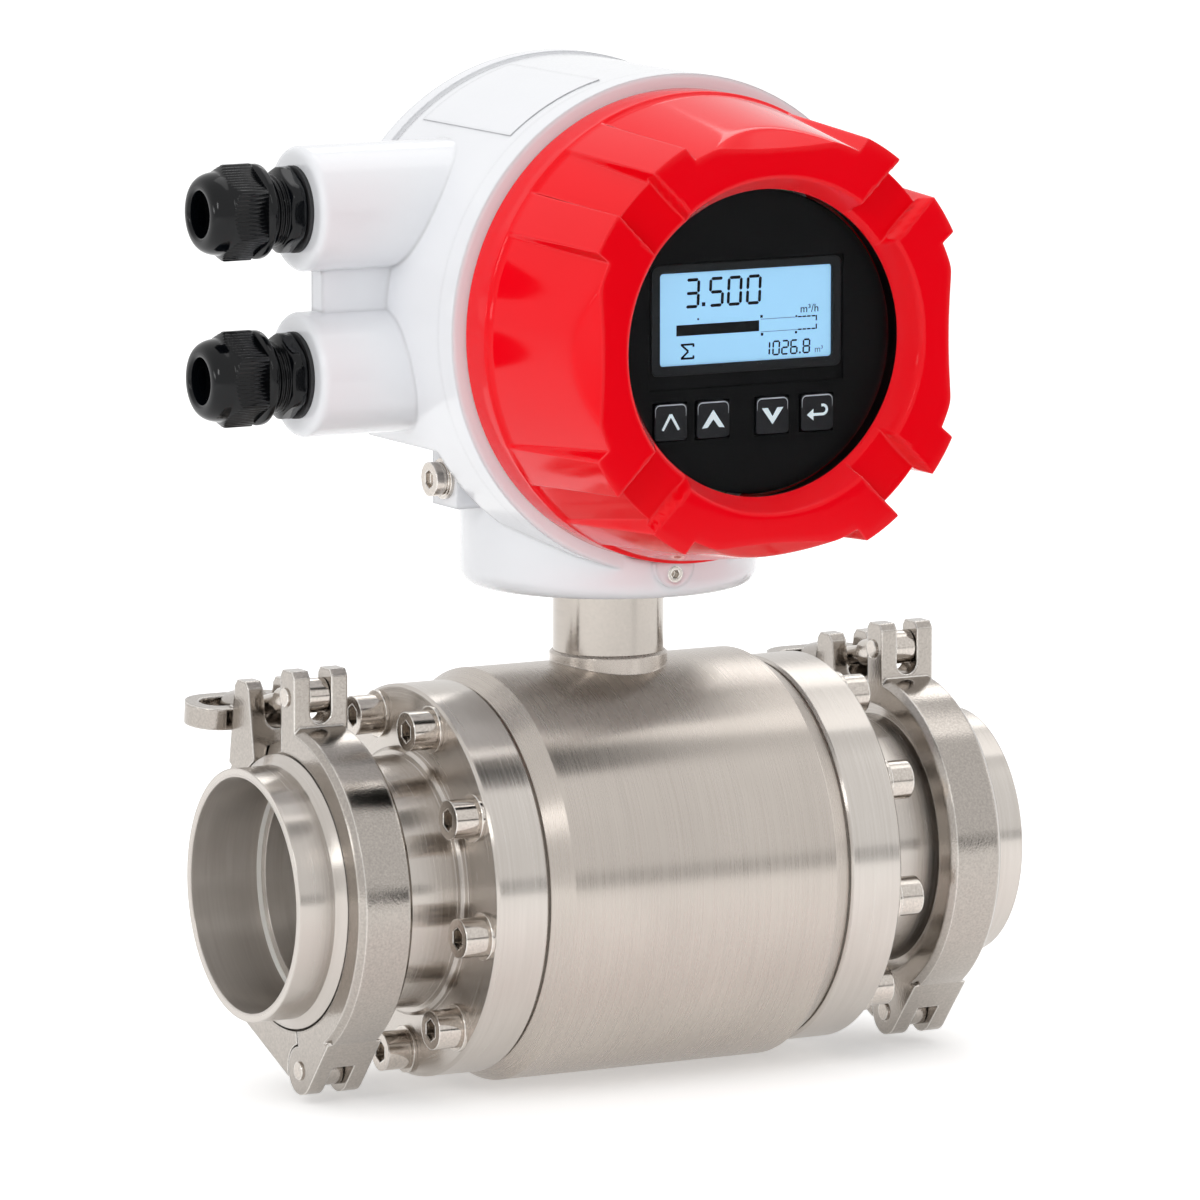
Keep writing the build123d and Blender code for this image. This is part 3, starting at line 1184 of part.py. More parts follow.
SIDES = (("inlet", -1), ("outlet", 1))
save("sensor_housing", sensor_housing())
save("measuring_tube", measuring_tube())
save("liner", liner())
save_group("electrodes", [electrode(side) for _, side in SIDES])
save_group("electrode_bushes", [electrode_bush(side) for _, side in SIDES])
save_group("electrode_nuts", [electrode_nut(side) for _, side in SIDES])
save_group("pole_cores", [pole_core(side) for _, side in SIDES])
save_group("field_coils", [field_coil(side) for _, side in SIDES])
save("magnet_yoke", magnet_yoke())
save("neck_tube", neck_tube())
save("signal_cable", signal_cable())
save_group("flange_seals", [flange_seal(side) for _, side in SIDES])
save_group("clamp_gaskets", [clamp_gasket(side) for _, side in SIDES])
for name, side in SIDES:
    save(f"{name}_adapter", end_adapter(side))
    save_group(f"{name}_flange_screws", [flange_screw(angle, side) for angle in screw_places()])
    save_group(f"{name}_flange_washers", [flange_washer(angle, side) for angle in screw_places()])
    save(f"{name}_ferrule", weld_ferrule(side))
    clamp_x = side * CLAMP_X
    save(f"{name}_clamp_front", clamp_front_half(clamp_x))
    save(f"{name}_clamp_rear", clamp_rear_half(clamp_x))
    save_group(f"{name}_clamp_pins", clamp_pins(clamp_x))
    save(f"{name}_swing_bolt", swing_bolt(clamp_x))
    save(f"{name}_wing_nut", wing_nut(clamp_x))
save("head_housing", head_housing())
save("lock_screw", lock_screw())
save("earth_screw", earth_screw())
save_group("earth_washers", earth_washers())
save("front_cover", front_cover())
save("front_o_ring", cover_o_ring(COVER_BACK_Y + O_RING_SETBACK))
save("window_glass", window_glass())
save("glass_ring", glass_ring())
save("rear_cover", rear_cover())
save("rear_gasket", rear_gasket())
save_group("rear_screws", rear_screws())
save("display_frame", display_frame())
save("lcd_panel", lcd_panel())
for number, key_x in enumerate(KEY_X, start=1):
    save(f"key_{number}", key_cap(key_x))
save("display_board", display_board())
save("main_board", main_board())
save_group("board_posts", board_posts())
save("terminal_block", terminal_block())
save_group("terminal_screws", terminal_screws())
LOWER_Z, UPPER_Z = gland_heights()
save_group("gland_seals", [gland_seal(LOWER_Z), gland_seal(UPPER_Z)])
save_group("gland_inserts", [gland_insert(LOWER_Z), gland_insert(UPPER_Z)])
for name, gland_z in (("lower", LOWER_Z), ("upper", UPPER_Z)):
    save(f"{name}_gland_body", gland_body(gland_z))
    save(f"{name}_gland_cap", gland_cap(gland_z))
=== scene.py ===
"""Looks for a sanitary flow meter: brushed pipe section, painted head and display."""

from __future__ import annotations

import json
import logging
import math
from dataclasses import dataclass
from enum import Enum
from typing import Any, Iterable

import bmesh
import bpy
import numpy as np
from mathutils import Matrix, Vector

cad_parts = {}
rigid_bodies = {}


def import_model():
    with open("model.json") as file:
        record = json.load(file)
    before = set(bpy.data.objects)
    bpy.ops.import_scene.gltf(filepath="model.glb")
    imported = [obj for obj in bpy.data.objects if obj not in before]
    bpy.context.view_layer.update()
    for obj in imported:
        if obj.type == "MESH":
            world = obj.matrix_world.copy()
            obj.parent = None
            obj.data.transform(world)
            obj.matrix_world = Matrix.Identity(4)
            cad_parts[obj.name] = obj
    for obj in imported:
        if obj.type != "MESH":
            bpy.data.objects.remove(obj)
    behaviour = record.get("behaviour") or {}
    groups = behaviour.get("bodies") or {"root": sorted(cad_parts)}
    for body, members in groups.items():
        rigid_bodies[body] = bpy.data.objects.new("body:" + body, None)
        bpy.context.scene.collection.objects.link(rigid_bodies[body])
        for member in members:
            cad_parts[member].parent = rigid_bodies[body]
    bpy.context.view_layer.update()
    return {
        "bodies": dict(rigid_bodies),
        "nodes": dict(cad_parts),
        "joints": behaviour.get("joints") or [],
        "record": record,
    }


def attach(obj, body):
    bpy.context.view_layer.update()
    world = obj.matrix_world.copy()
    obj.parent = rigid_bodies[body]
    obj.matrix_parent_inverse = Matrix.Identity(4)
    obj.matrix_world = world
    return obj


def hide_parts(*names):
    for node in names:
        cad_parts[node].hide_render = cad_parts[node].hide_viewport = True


LOG = logging.getLogger("flow_meter")
MM = 0.001
Array = np.ndarray
Piece = bpy.types.Object
Colour = tuple[float, float, float]
Pair = tuple[float, float]
BLACK = (0.0, 0.0, 0.0, 1.0)
WHITE = (1.0, 1.0, 1.0, 1.0)


class Look(Enum):
    """Finishes that are chosen by name and not by a node's slot."""

    RED = "red_paint"
    NYLON = "nylon_black"
    BEZEL = "bezel_grey"
    INK = "print_black"
    PALE_INK = "print_grey"
    # The key symbols: pale print with a painted glow.
    SYMBOL = "symbol_white"
    # Painted highlights along the keys' top edges.
    GLINT = "glint_grey"
    NECK = "neck_steel"


# Mesh making


def linked(name: str, data: Any) -> Any:
    """Put a mesh, lamp, camera or text into the scene.

    Args:
        name: The object's name.
        data: What the object holds.

    Returns:
        The new object.
    """
    holder = bpy.data.objects.new(name, data)
    bpy.context.scene.collection.objects.link(holder)
    return holder


def add_mesh(name: str, points: Array, faces: Array, smooth: bool = True) -> Piece:
    """Put worked-out points and faces into a new object at the origin.

    Args:
        name: The object's name.
        points: An (n, 3) array in metres.
        faces: An (m, k) array of point numbers.
        smooth: True for smooth shading.

    Returns:
        The linked object, with its faces pointing outwards.
    """
    first, second, third = (points[faces[:, index]] for index in range(3))
    volume = np.einsum("ij,ij->i", first, np.cross(second, third)).sum()
    if volume < 0:
        faces = faces[:, ::-1]
    mesh = bpy.data.meshes.new(name)
    mesh.from_pydata(points.tolist(), [], faces.tolist())
    mesh.polygons.foreach_set("use_smooth", np.full(len(faces), smooth))
    mesh.update()
    return linked(name, mesh)


def outward(mesh: bpy.types.Mesh) -> None:
    """Point every face of a closed mesh outwards.

    Args:
        mesh: The mesh, which is changed.
    """
    work = bmesh.new()
    work.from_mesh(mesh)
    bmesh.ops.recalc_face_normals(work, faces=work.faces)
    work.to_mesh(mesh)
    work.free()


def torus_faces(rows: int, columns: int) -> Array:
    """Quads of a grid that closes on itself both ways.

    Args:
        rows: Number of points along the profile.
        columns: Number of points round the axis.

    Returns:
        An (rows * columns, 4) array of point numbers.
    """
    row, column = np.meshgrid(np.arange(rows), np.arange(columns), indexing="ij")
    next_row, next_column = (row + 1) % rows, (column + 1) % columns
    corners = (
        row * columns + column,
        next_row * columns + column,
        next_row * columns + next_column,
        row * columns + next_column,
    )
    return np.stack(corners, axis=-1).reshape(-1, 4)


def ring_surface(name: str, rows: list[tuple[float, Any]], angle: Array, axis: Pair) -> Piece:
    """Close rows of radii round an axis along X into one surface.

    Args:
        name: The object's name.
        rows: Each row's station along X and its radius, one number or one for every angle, in
            millimetres.
        angle: The angles, measured from +Z towards +Y.
        axis: The axis's y and z, in millimetres.

    Returns:
        The new object.
    """
    ones = np.ones_like(angle)
    stations = np.stack([station * ones for station, _ in rows])
    radial = np.stack([radius * ones for _, radius in rows])
    points = np.stack([
        stations,
        axis[0] + radial * np.sin(angle)[None, :],
        axis[1] + radial * np.cos(angle)[None, :],
    ], axis=-1)
    return add_mesh(name, points.reshape(-1, 3) * MM, torus_faces(*stations.shape))


def eased(value: Any) -> Any:
    """Smooth step: 3t^2 - 2t^3, with t held between 0 and 1."""
    held = np.clip(value, 0.0, 1.0)
    return held * held * (3.0 - 2.0 * held)


def soft_min(first: Any, second: Any, blend: float) -> Array:
    """The smaller of two values, rounded: half of (a + b - sqrt((a - b)^2 + blend^2))."""
    return 0.5 * (first + second - np.sqrt((first - second) ** 2 + blend * blend))


def hexagon_radius(angle: Array, half_width: float, corner: float, blend: float) -> Array:
    """Radius of a hexagon: half its width over cos of the angle from its nearest flat's middle.

    Args:
        angle: The angles round its axis.
        half_width: Half its width across the flats.
        corner: The radius at which its corners are turned off.
        blend: How softly they are.

    Returns:
        The radius at each angle.
    """
    from_flat = angle % (math.pi / 3) - math.pi / 6
    return soft_min(half_width / np.cos(from_flat), corner, blend)


CORNER_POINTS = 5
# A rounded corner takes at most this share of the side before it and of the side after it.
CORNER_SHARE = 0.45
SHORTEST_SIDE = 1e-9


def rounded_corner(before: Array, here: Array, after: Array, reach: float) -> Array:
    """Round one corner of closed profiles, one profile per column.

    The corner c becomes the curve (1-t)^2 a + 2t(1-t) c + t^2 b, from the point a before it to the
    point b after it.

    Args:
        before: Station and radius of the corner before it, a (2, columns) array.
        here: Those of the corner.
        after: Those of the corner after it.
        reach: How far before and after the corner the curve starts and ends.

    Returns:
        The curve's stations and radii, a (CORNER_POINTS, 2, columns) array.
    """
    ends = []
    for other in (before, after):
        offset = other - here
        length = np.maximum(np.linalg.norm(offset, axis=0), SHORTEST_SIDE)
        ends.append(here + offset * (np.minimum(reach, CORNER_SHARE * length) / length))
    part = np.linspace(0.0, 1.0, CORNER_POINTS)[:, None, None]
    return (1 - part) ** 2 * ends[0] + 2 * part * (1 - part) * here + part**2 * ends[1]


# Shader nodes and groups

# Numbers of the sockets of a Mix node that mixes colours.
MIX_FACTOR, MIX_LOW, MIX_HIGH, MIX_RESULT = 0, 6, 7, 2
# Most of a noise's values lie between these.
NOISE_MIDDLE = (0.3, 0.7)
GRAIN_DETAIL = 3.0
LINE_DETAIL, LINE_ROUGHNESS = 4.0, 0.65
BEVEL_SAMPLES = 6
# Radius of the edge mask, which brightens edges for wear and for painted highlights.
EDGE_MASK_RADIUS = 0.0009


def feed(tree: Any, node: Any, values: dict[Any, Any]) -> None:
    """Give a node's inputs their values.

    Args:
        tree: The node tree.
        node: The node.
        values: A socket, number or colour for each input, by the input's name or number.
    """
    for label, value in values.items():
        if isinstance(value, bpy.types.NodeSocket):
            tree.links.new(value, node.inputs[label])
        else:
            node.inputs[label].default_value = value


def add_node(tree: Any, kind: str, values: dict[Any, Any] | None = None, **settings: Any) -> Any:
    """Add a shader node.

    Args:
        tree: The node tree.
        kind: The node's type, without its first word ShaderNode.
        values: A socket, number or colour for each input, by the input's name or number.
        settings: The node's own settings, which come before its values.

    Returns:
        The node.
    """
    node = tree.nodes.new(f"ShaderNode{kind}")
    for label, value in settings.items():
        setattr(node, label, value)
    feed(tree, node, values or {})
    return node


def math_node(tree: Any, operation: str, *values: Any) -> Any:
    """Output socket of a new Math node, with a socket or a number for each of its inputs."""
    return add_node(tree, "Math", dict(enumerate(values)), operation=operation).outputs[0]


def vector_node(tree: Any, operation: str, *values: Any) -> Any:
    """A new Vector Math node, with a socket or a vector for each of its inputs."""
    return add_node(tree, "VectorMath", dict(enumerate(values)), operation=operation)


def noise_node(tree: Any, vector: Any, scale: Any, detail: float, rough: float = 0.5) -> Any:
    """Add a Noise Texture on a vector.

    Args:
        tree: The node tree.
        vector: The coordinate's socket.
        scale: A number or a socket.
        detail: Number of octaves.
        rough: Strength of the finer octaves.

    Returns:
        The value's socket.
    """
    values = {"Vector": vector, "Scale": scale, "Detail": detail, "Roughness": rough}
    return add_node(tree, "TexNoise", values).outputs[0]


def object_place(tree: Any) -> Any:
    """Socket of the Object coordinate."""
    return add_node(tree, "TexCoord").outputs["Object"]


def surface_normal(tree: Any) -> Any:
    """Socket of the surface's own normal."""
    return add_node(tree, "NewGeometry").outputs["Normal"]


def rounded_normal(tree: Any, radius: float) -> Any:
    """Socket of a normal that turns over an edge within a radius in metres."""
    return add_node(tree, "Bevel", {"Radius": radius}, samples=BEVEL_SAMPLES).outputs[0]


def new_group(name: str, inputs: dict[str, float], outputs: Iterable[str]) -> Any:
    """Make an empty shader group whose sockets are numbers.

    Args:
        name: The group's name.
        inputs: The default value of each input.
        outputs: The name of each output.

    Returns:
        The node tree, its input node and its output node.
    """
    tree = bpy.data.node_groups.new(name, "ShaderNodeTree")
    number = "NodeSocketFloat"
    for label, value in inputs.items():
        socket = tree.interface.new_socket(name=label, in_out="INPUT", socket_type=number)
        socket.default_value = value
    for label in outputs:
        tree.interface.new_socket(name=label, in_out="OUTPUT", socket_type=number)
    return tree, tree.nodes.new("NodeGroupInput"), tree.nodes.new("NodeGroupOutput")


def turned_lines_group() -> Any:
    """Fine lines left by turning and brushing round the pipe axis, which is the x axis.

    The noise is read at (x * lines, radius * lines, |angle| * wander), so that a line runs round
    the axis on a cylinder and on a flat face alike.

    Returns:
        The group, which puts out the lines' value and the radius in metres.
    """
    inputs = {"Lines": 1100.0, "Wander": 1.2}
    tree, start, end = new_group("turned_lines", inputs, ("Fine", "Radius"))
    along, aside, height = add_node(tree, "SeparateXYZ", {0: object_place(tree)}).outputs
    squares = [math_node(tree, "MULTIPLY", value, value) for value in (aside, height)]
    radius = math_node(tree, "SQRT", math_node(tree, "ADD", *squares))
    angle = math_node(tree, "ABSOLUTE", math_node(tree, "ARCTAN2", aside, height))
    lines, wander = start.outputs["Lines"], start.outputs["Wander"]
    factors = ((along, lines), (radius, lines), (angle, wander))
    parts = [math_node(tree, "MULTIPLY", *pair) for pair in factors]
    where = add_node(tree, "CombineXYZ", dict(enumerate(parts))).outputs[0]
    fine = noise_node(tree, where, 1.0, LINE_DETAIL, LINE_ROUGHNESS)
    feed(tree, end, {"Fine": fine, "Radius": radius})
    return tree


def grain_group() -> Any:
    """Even grain of castings, mouldings and paint: two sizes of noise on Object coordinates.

    Returns:
        The group, which puts out a fine value and a broad value.
    """
    labels = ("Fine", "Broad")
    tree, start, end = new_group("grain", {"Fine scale": 2200.0, "Broad scale": 40.0}, labels)
    where = object_place(tree)
    for label in labels:
        scale = start.outputs[f"{label} scale"]
        feed(tree, end, {label: noise_node(tree, where, scale, GRAIN_DETAIL)})
    return tree


def edge_group() -> Any:
    """Edges, for rubbed wear and for painted highlights: one minus the dot product of a rounded
    normal and the true one, made steeper.

    Returns:
        The group, which puts out a mask.
    """
    tree, start, end = new_group("worn_and_highlighted_edge", {"Strength": 2.0}, ("Mask",))
    rounded = rounded_normal(tree, EDGE_MASK_RADIUS)
    product = vector_node(tree, "DOT_PRODUCT", rounded, surface_normal(tree))
    turned = math_node(tree, "SUBTRACT", 1.0, product.outputs["Value"])
    raised = math_node(tree, "MULTIPLY", turned, start.outputs["Strength"])
    feed(tree, end, {"Mask": math_node(tree, "MINIMUM", raised, 1.0)})
    return tree


class Workshop:
    """Keeps the shared shader groups and places them in materials."""

    def __init__(self) -> None:
        """Build each shared group once."""
        self.turned = turned_lines_group()
        self.grain = grain_group()
        self.edge = edge_group()

    def place(self, tree: Any, group: Any, **values: float) -> Any:
        """Place a shared group in a material with its own values.

        Args:
            tree: The material's node tree.
            group: The shared group.
            values: A number for each input, such as fine_scale for Fine scale.

        Returns:
            The output sockets of the group's node.
        """
        named = {label.replace("_", " ").capitalize(): value for label, value in values.items()}
        return add_node(tree, "Group", named, node_tree=group).outputs

    def mix(self, tree: Any, factor: Any, low: Any, high: Any) -> Any:
        """Mix two colours by a mask.

        Args:
            tree: The material's node tree.
            factor: The mask's socket.
            low: The colour where the mask is 0, as three numbers or a socket.
            high: The colour where the mask is 1, the same way.

        Returns:
            The colour's socket.
        """
        values = {MIX_FACTOR: factor}
        for number, part in ((MIX_LOW, low), (MIX_HIGH, high)):
            values[number] = part if isinstance(part, bpy.types.NodeSocket) else (*part, 1.0)
        return add_node(tree, "Mix", values, data_type="RGBA").outputs[MIX_RESULT]

    def spread(self, tree: Any, value: Any, low: float, high: float) -> Any:
        """Spread the middle of a noise value over a range.

        Args:
            tree: The material's node tree.
            value: The noise's socket.
            low: The result at the lower end of the noise's middle.
            high: The result at its upper end.

        Returns:
            The result's socket.
        """
        numbers = (value, *NOISE_MIDDLE, low, high)
        return add_node(tree, "MapRange", dict(enumerate(numbers))).outputs[0]

    def relief(self, tree: Any, height: Any, depth: float, share: float, round_edge: float) -> Any:
        """Lay fine relief on top of softly rounded edges.

        Args:
            tree: The material's node tree.
            height: The relief's socket.
            depth: Depth of the relief in metres.
            share: Share of the relief that shows.
            round_edge: Radius of the rounded edges in metres, or 0.

        Returns:
            The normal's socket.
        """
        values = {"Height": height, "Distance": depth, "Strength": share}
        if round_edge > 0:
            values["Normal"] = rounded_normal(tree, round_edge)
        return add_node(tree, "Bump", values).outputs[0]


# Finishes


@dataclass(frozen=True)
class Finish:
    """A named material, whose kind says how it looks."""

    name: str

    def look(self, shop: Workshop, tree: Any) -> dict[str, Any]:
        """Work out the shader's inputs.

        Args:
            shop: The workshop with the shared groups.
            tree: The material's node tree.

        Returns:
            A socket, number or colour for each input that isn't left alone.
        """
        raise NotImplementedError

    def make(self, shop: Workshop) -> bpy.types.Material:
        """Build the material.

        Args:
            shop: The workshop with the shared groups.

        Returns:
            The new material.
        """
        material = bpy.data.materials.new(self.name)
        material.use_nodes = True
        tree = material.node_tree
        feed(tree, tree.nodes["Principled BSDF"], self.look(shop, tree))
        return material


@dataclass(frozen=True)
class TurnedSteel(Finish):
    """Stainless steel with lines round the pipe axis, rougher inside the radius of the bore."""

    dark: Colour
    light: Colour
    rough_low: float
    rough_high: float
    lines: float
    relief: float = 0.00001
    round_edge: float = 0.0006
    stretch: float = 0.85
    bore: float = 0.0
    bore_rough: float = 0.12
    wander: float = 1.2
    broad: float = 22.0
    relief_share: float = 0.5

    def across_lines(self, tree: Any) -> Any:
        """Find the direction in which the lines blur a reflection, across them in the surface.

        It is the surface's normal crossed with the way round the pipe axis, and that way is the
        x axis crossed with the Object coordinate.

        Args:
            tree: The material's node tree.

        Returns:
            The direction's socket.
        """
        around = vector_node(tree, "CROSS_PRODUCT", (1.0, 0.0, 0.0), object_place(tree))
        across = vector_node(tree, "CROSS_PRODUCT", surface_normal(tree), around.outputs[0])
        return vector_node(tree, "NORMALIZE", across.outputs[0]).outputs[0]

    def look(self, shop: Workshop, tree: Any) -> dict[str, Any]:
        """Work out the shader's inputs.

        Args:
            shop: The workshop with the shared groups.
            tree: The material's node tree.

        Returns:
            A socket, number or colour for each input that isn't left alone.
        """
        turned = shop.place(tree, shop.turned, lines=self.lines, wander=self.wander)
        grain = shop.place(tree, shop.grain, broad_scale=self.broad)
        both = math_node(tree, "ADD", turned["Fine"], grain["Broad"])
        middle = math_node(tree, "MULTIPLY", both, 0.5)
        shade = shop.spread(tree, middle, 0.0, 1.0)
        normal = shop.relief(tree, turned["Fine"], self.relief, self.relief_share, self.round_edge)
        rough = shop.spread(tree, turned["Fine"], self.rough_low, self.rough_high)
        if self.bore > 0:
            inside = math_node(tree, "LESS_THAN", turned["Radius"], self.bore)
            rough = math_node(tree, "MULTIPLY_ADD", inside, self.bore_rough, rough)
        values = {
            "Base Color": shop.mix(tree, shade, self.dark, self.light),
            "Roughness": rough,
            "Metallic": 1.0,
            "Normal": normal,
        }
        if self.stretch > 0:
            values |= {"Anisotropic": self.stretch, "Tangent": self.across_lines(tree)}
        return values


@dataclass(frozen=True)
class CastSteel(Finish):
    """Satin casting, fine grain; its brighter edges are part wear and part painted highlight."""

    body: Colour
    edge: Colour
    rough: float
    relief: float = 0.00005
    round_edge: float = 0.0012
    fine: float = 1500.0
    broad: float = 70.0
    edge_mask_strength: float = 5.0
    speckle: Pair = (0.86, 1.08)
    rough_swing: float = 0.05
    relief_share: float = 0.5

    def look(self, shop: Workshop, tree: Any) -> dict[str, Any]:
        """Work out the shader's inputs.

        Args:
            shop: The workshop with the shared groups.
            tree: The material's node tree.

        Returns:
            A socket, number or colour for each input that isn't left alone.
        """
        grain = shop.place(tree, shop.grain, fine_scale=self.fine, broad_scale=self.broad)
        # Edges brighten towards the edge colour: partly rubbed wear, partly painted highlight.
        mask = shop.place(tree, shop.edge, strength=self.edge_mask_strength)["Mask"]
        shaded = vector_node(tree, "SCALE", shop.mix(tree, mask, self.body, self.edge))
        feed(tree, shaded, {"Scale": shop.spread(tree, grain["Fine"], *self.speckle)})
        low, high = self.rough - self.rough_swing, self.rough + self.rough_swing
        normal = shop.relief(tree, grain["Fine"], self.relief, self.relief_share, self.round_edge)
        return {
            "Base Color": shaded.outputs[0],
            "Roughness": shop.spread(tree, grain["Broad"], low, high),
            "Metallic": 1.0,
            "Normal": normal,
        }


@dataclass(frozen=True)
class Coated(Finish):
    """Paint, moulded plastic, rubber and other surfaces that aren't bare turned or cast steel."""

    dark: Colour
    light: Colour
    rough: float
    relief: float = 0.00002
    fine: float = 2200.0
    broad: float = 40.0
    coat: float = 0.0
    coat_rough: float = 0.03
    round_edge: float = 0.0005
    metal: float = 0.0
    shine: float = 0.5
    edge: Colour | None = None
    edge_mask_strength: float = 2.0
    rough_swing: Pair = (0.85, 1.15)
    relief_share: float = 0.4

    def look(self, shop: Workshop, tree: Any) -> dict[str, Any]:
        """Work out the shader's inputs.

        Args:
            shop: The workshop with the shared groups.
            tree: The material's node tree.

        Returns:
            A socket, number or colour for each input that isn't left alone.
        """
        grain = shop.place(tree, shop.grain, fine_scale=self.fine, broad_scale=self.broad)
        shade = shop.spread(tree, grain["Broad"], 0.0, 1.0)
        colour = shop.mix(tree, shade, self.dark, self.light)
        # Edges mixed towards the edge colour: on the red paint this is a painted highlight.
        if self.edge is not None:
            mask = shop.place(tree, shop.edge, strength=self.edge_mask_strength)["Mask"]
            colour = shop.mix(tree, mask, colour, self.edge)
        low, high = (self.rough * part for part in self.rough_swing)
        normal = shop.relief(tree, grain["Fine"], self.relief, self.relief_share, self.round_edge)
        return {
            "Base Color": colour,
            "Roughness": shop.spread(tree, grain["Fine"], low, high),
            "Coat Weight": self.coat,
            "Coat Roughness": self.coat_rough,
            "Metallic": self.metal,
            "Specular IOR Level": self.shine,
            "Normal": normal,
        }


@dataclass(frozen=True)
class LitPanel(Finish):
    """A pale colour with a little light of its own: the lit panel, and painted glow on the keys."""

    colour: Colour
    glow: float
    rough: float = 0.35
    broad: float = 35.0
    lighter: float = 1.06

    def look(self, shop: Workshop, tree: Any) -> dict[str, Any]:
        """Work out the shader's inputs.

        Args:
            shop: The workshop with the shared groups.
            tree: The material's node tree.

        Returns:
            A socket, number or colour for each input that isn't left alone.
        """
        grain = shop.place(tree, shop.grain, broad_scale=self.broad)
        shade = shop.spread(tree, grain["Broad"], 0.0, 1.0)
        lighter = tuple(min(1.0, part * self.lighter) for part in self.colour)
        colour = shop.mix(tree, shade, self.colour, lighter)
        return {
            "Base Color": colour,
            "Emission Color": colour,
            "Emission Strength": self.glow,
            "Roughness": self.rough,
        }


@dataclass(frozen=True)
class ClearGlass(Finish):
    """The window's glass."""

    tint: tuple[float, float, float, float] = (0.97, 0.985, 1.0, 1.0)
    rough: float = 0.01
    bend: float = 1.45

    def look(self, shop: Workshop, tree: Any) -> dict[str, Any]:
        """Work out the shader's inputs.

        Args:
            shop: The workshop with the shared groups; not used here.
            tree: The material's node tree; not used here.

        Returns:
            A socket, number or colour for each input that isn't left alone.
        """
        return {
            "Base Color": self.tint,
            "Roughness": self.rough,
            "IOR": self.bend,
            "Transmission Weight": 1.0,
        }


FINISHES = (
    TurnedSteel("barrel_steel", (0.46, 0.415, 0.375), (0.56, 0.51, 0.46), 0.25, 0.31, 1500.0),
    TurnedSteel(
        "turned_steel", (0.51, 0.47, 0.43), (0.62, 0.58, 0.54), 0.21, 0.28, 1100.0,
        stretch=0.94, bore=0.0362,
    ),
    TurnedSteel(
        "neck_steel", (0.41, 0.375, 0.34), (0.52, 0.475, 0.43), 0.13, 0.20, 1100.0, stretch=0.0
    ),
    # For cast and screw steel the edge colour is partly rubbed wear, partly a painted highlight.
    CastSteel("cast_steel", (0.42, 0.385, 0.35), (0.86, 0.83, 0.79), 0.15),
    CastSteel(
        "screw_steel", (0.60, 0.55, 0.50), (0.88, 0.85, 0.81), 0.15,
        relief=0.00001, round_edge=0.0006,
    ),
    Coated("soft_iron", (0.20, 0.20, 0.21), (0.28, 0.28, 0.30), 0.45, metal=1.0),
    Coated("copper_coil", (0.55, 0.22, 0.09), (0.66, 0.30, 0.14), 0.30, metal=1.0),
    Coated("liner_white", (0.82, 0.82, 0.79), (0.88, 0.88, 0.86), 0.35),
    Coated("bush_plastic", (0.66, 0.63, 0.54), (0.72, 0.70, 0.62), 0.40),
    Coated("seal_rubber", (0.012, 0.012, 0.013), (0.022, 0.022, 0.024), 0.60),
    Coated("gasket_white", (0.78, 0.78, 0.75), (0.84, 0.84, 0.81), 0.45),
    Coated(
        "white_paint", (0.80, 0.81, 0.84), (0.83, 0.84, 0.865), 0.20,
        fine=900.0, broad=18.0, coat=0.35, round_edge=0.0025,
    ),
    # The red's edge colour is a painted highlight along its edges.
    Coated(
        "red_paint", (0.84, 0.0006, 0.006), (0.88, 0.0012, 0.009), 0.10, relief=0.00001,
        fine=700.0, broad=15.0, round_edge=0.0, shine=0.16, edge=(0.95, 0.22, 0.24),
    ),
    Coated(
        "nylon_black", (0.001, 0.0013, 0.002), (0.002, 0.0028, 0.004), 0.10,
        fine=1600.0, shine=0.28,
    ),
    Coated("display_black", (0.0035, 0.0035, 0.0037), (0.005, 0.005, 0.0052), 0.45, shine=0.12),
    Coated("bezel_grey", (0.010, 0.011, 0.012), (0.014, 0.015, 0.016), 0.40, shine=0.25),
    LitPanel("lcd_blue", (0.35, 0.65, 0.90), 0.45),
    Coated("key_black", (0.008, 0.008, 0.010), (0.013, 0.013, 0.015), 0.36, shine=0.3),
    Coated("board_green", (0.01, 0.10, 0.04), (0.02, 0.15, 0.06), 0.30),
    Coated("terminal_green", (0.03, 0.25, 0.07), (0.05, 0.32, 0.10), 0.40),
    Coated("cable_grey", (0.18, 0.18, 0.19), (0.24, 0.24, 0.25), 0.55),
    ClearGlass("window_clear"),
    Coated("print_black", (0.004, 0.004, 0.005), (0.008, 0.008, 0.009), 0.45, shine=0.2),
    Coated("print_grey", (0.18, 0.26, 0.31), (0.20, 0.28, 0.33), 0.45, shine=0.2),
    # The key symbols' glow is painted light; their pale colour is print.
    LitPanel("symbol_white", (0.80, 0.90, 0.93), 0.25),
    # The keys' bright top edges: a painted highlight, pale and glowing.
    LitPanel("glint_grey", (0.52, 0.55, 0.58), 0.18),
)


# Pieces: their sizes are in millimetres and degrees

# Each gland's axis: its y and z.
GLAND_AXES = {"lower": (5.0, 154.5), "upper": (5.0, 204.1)}


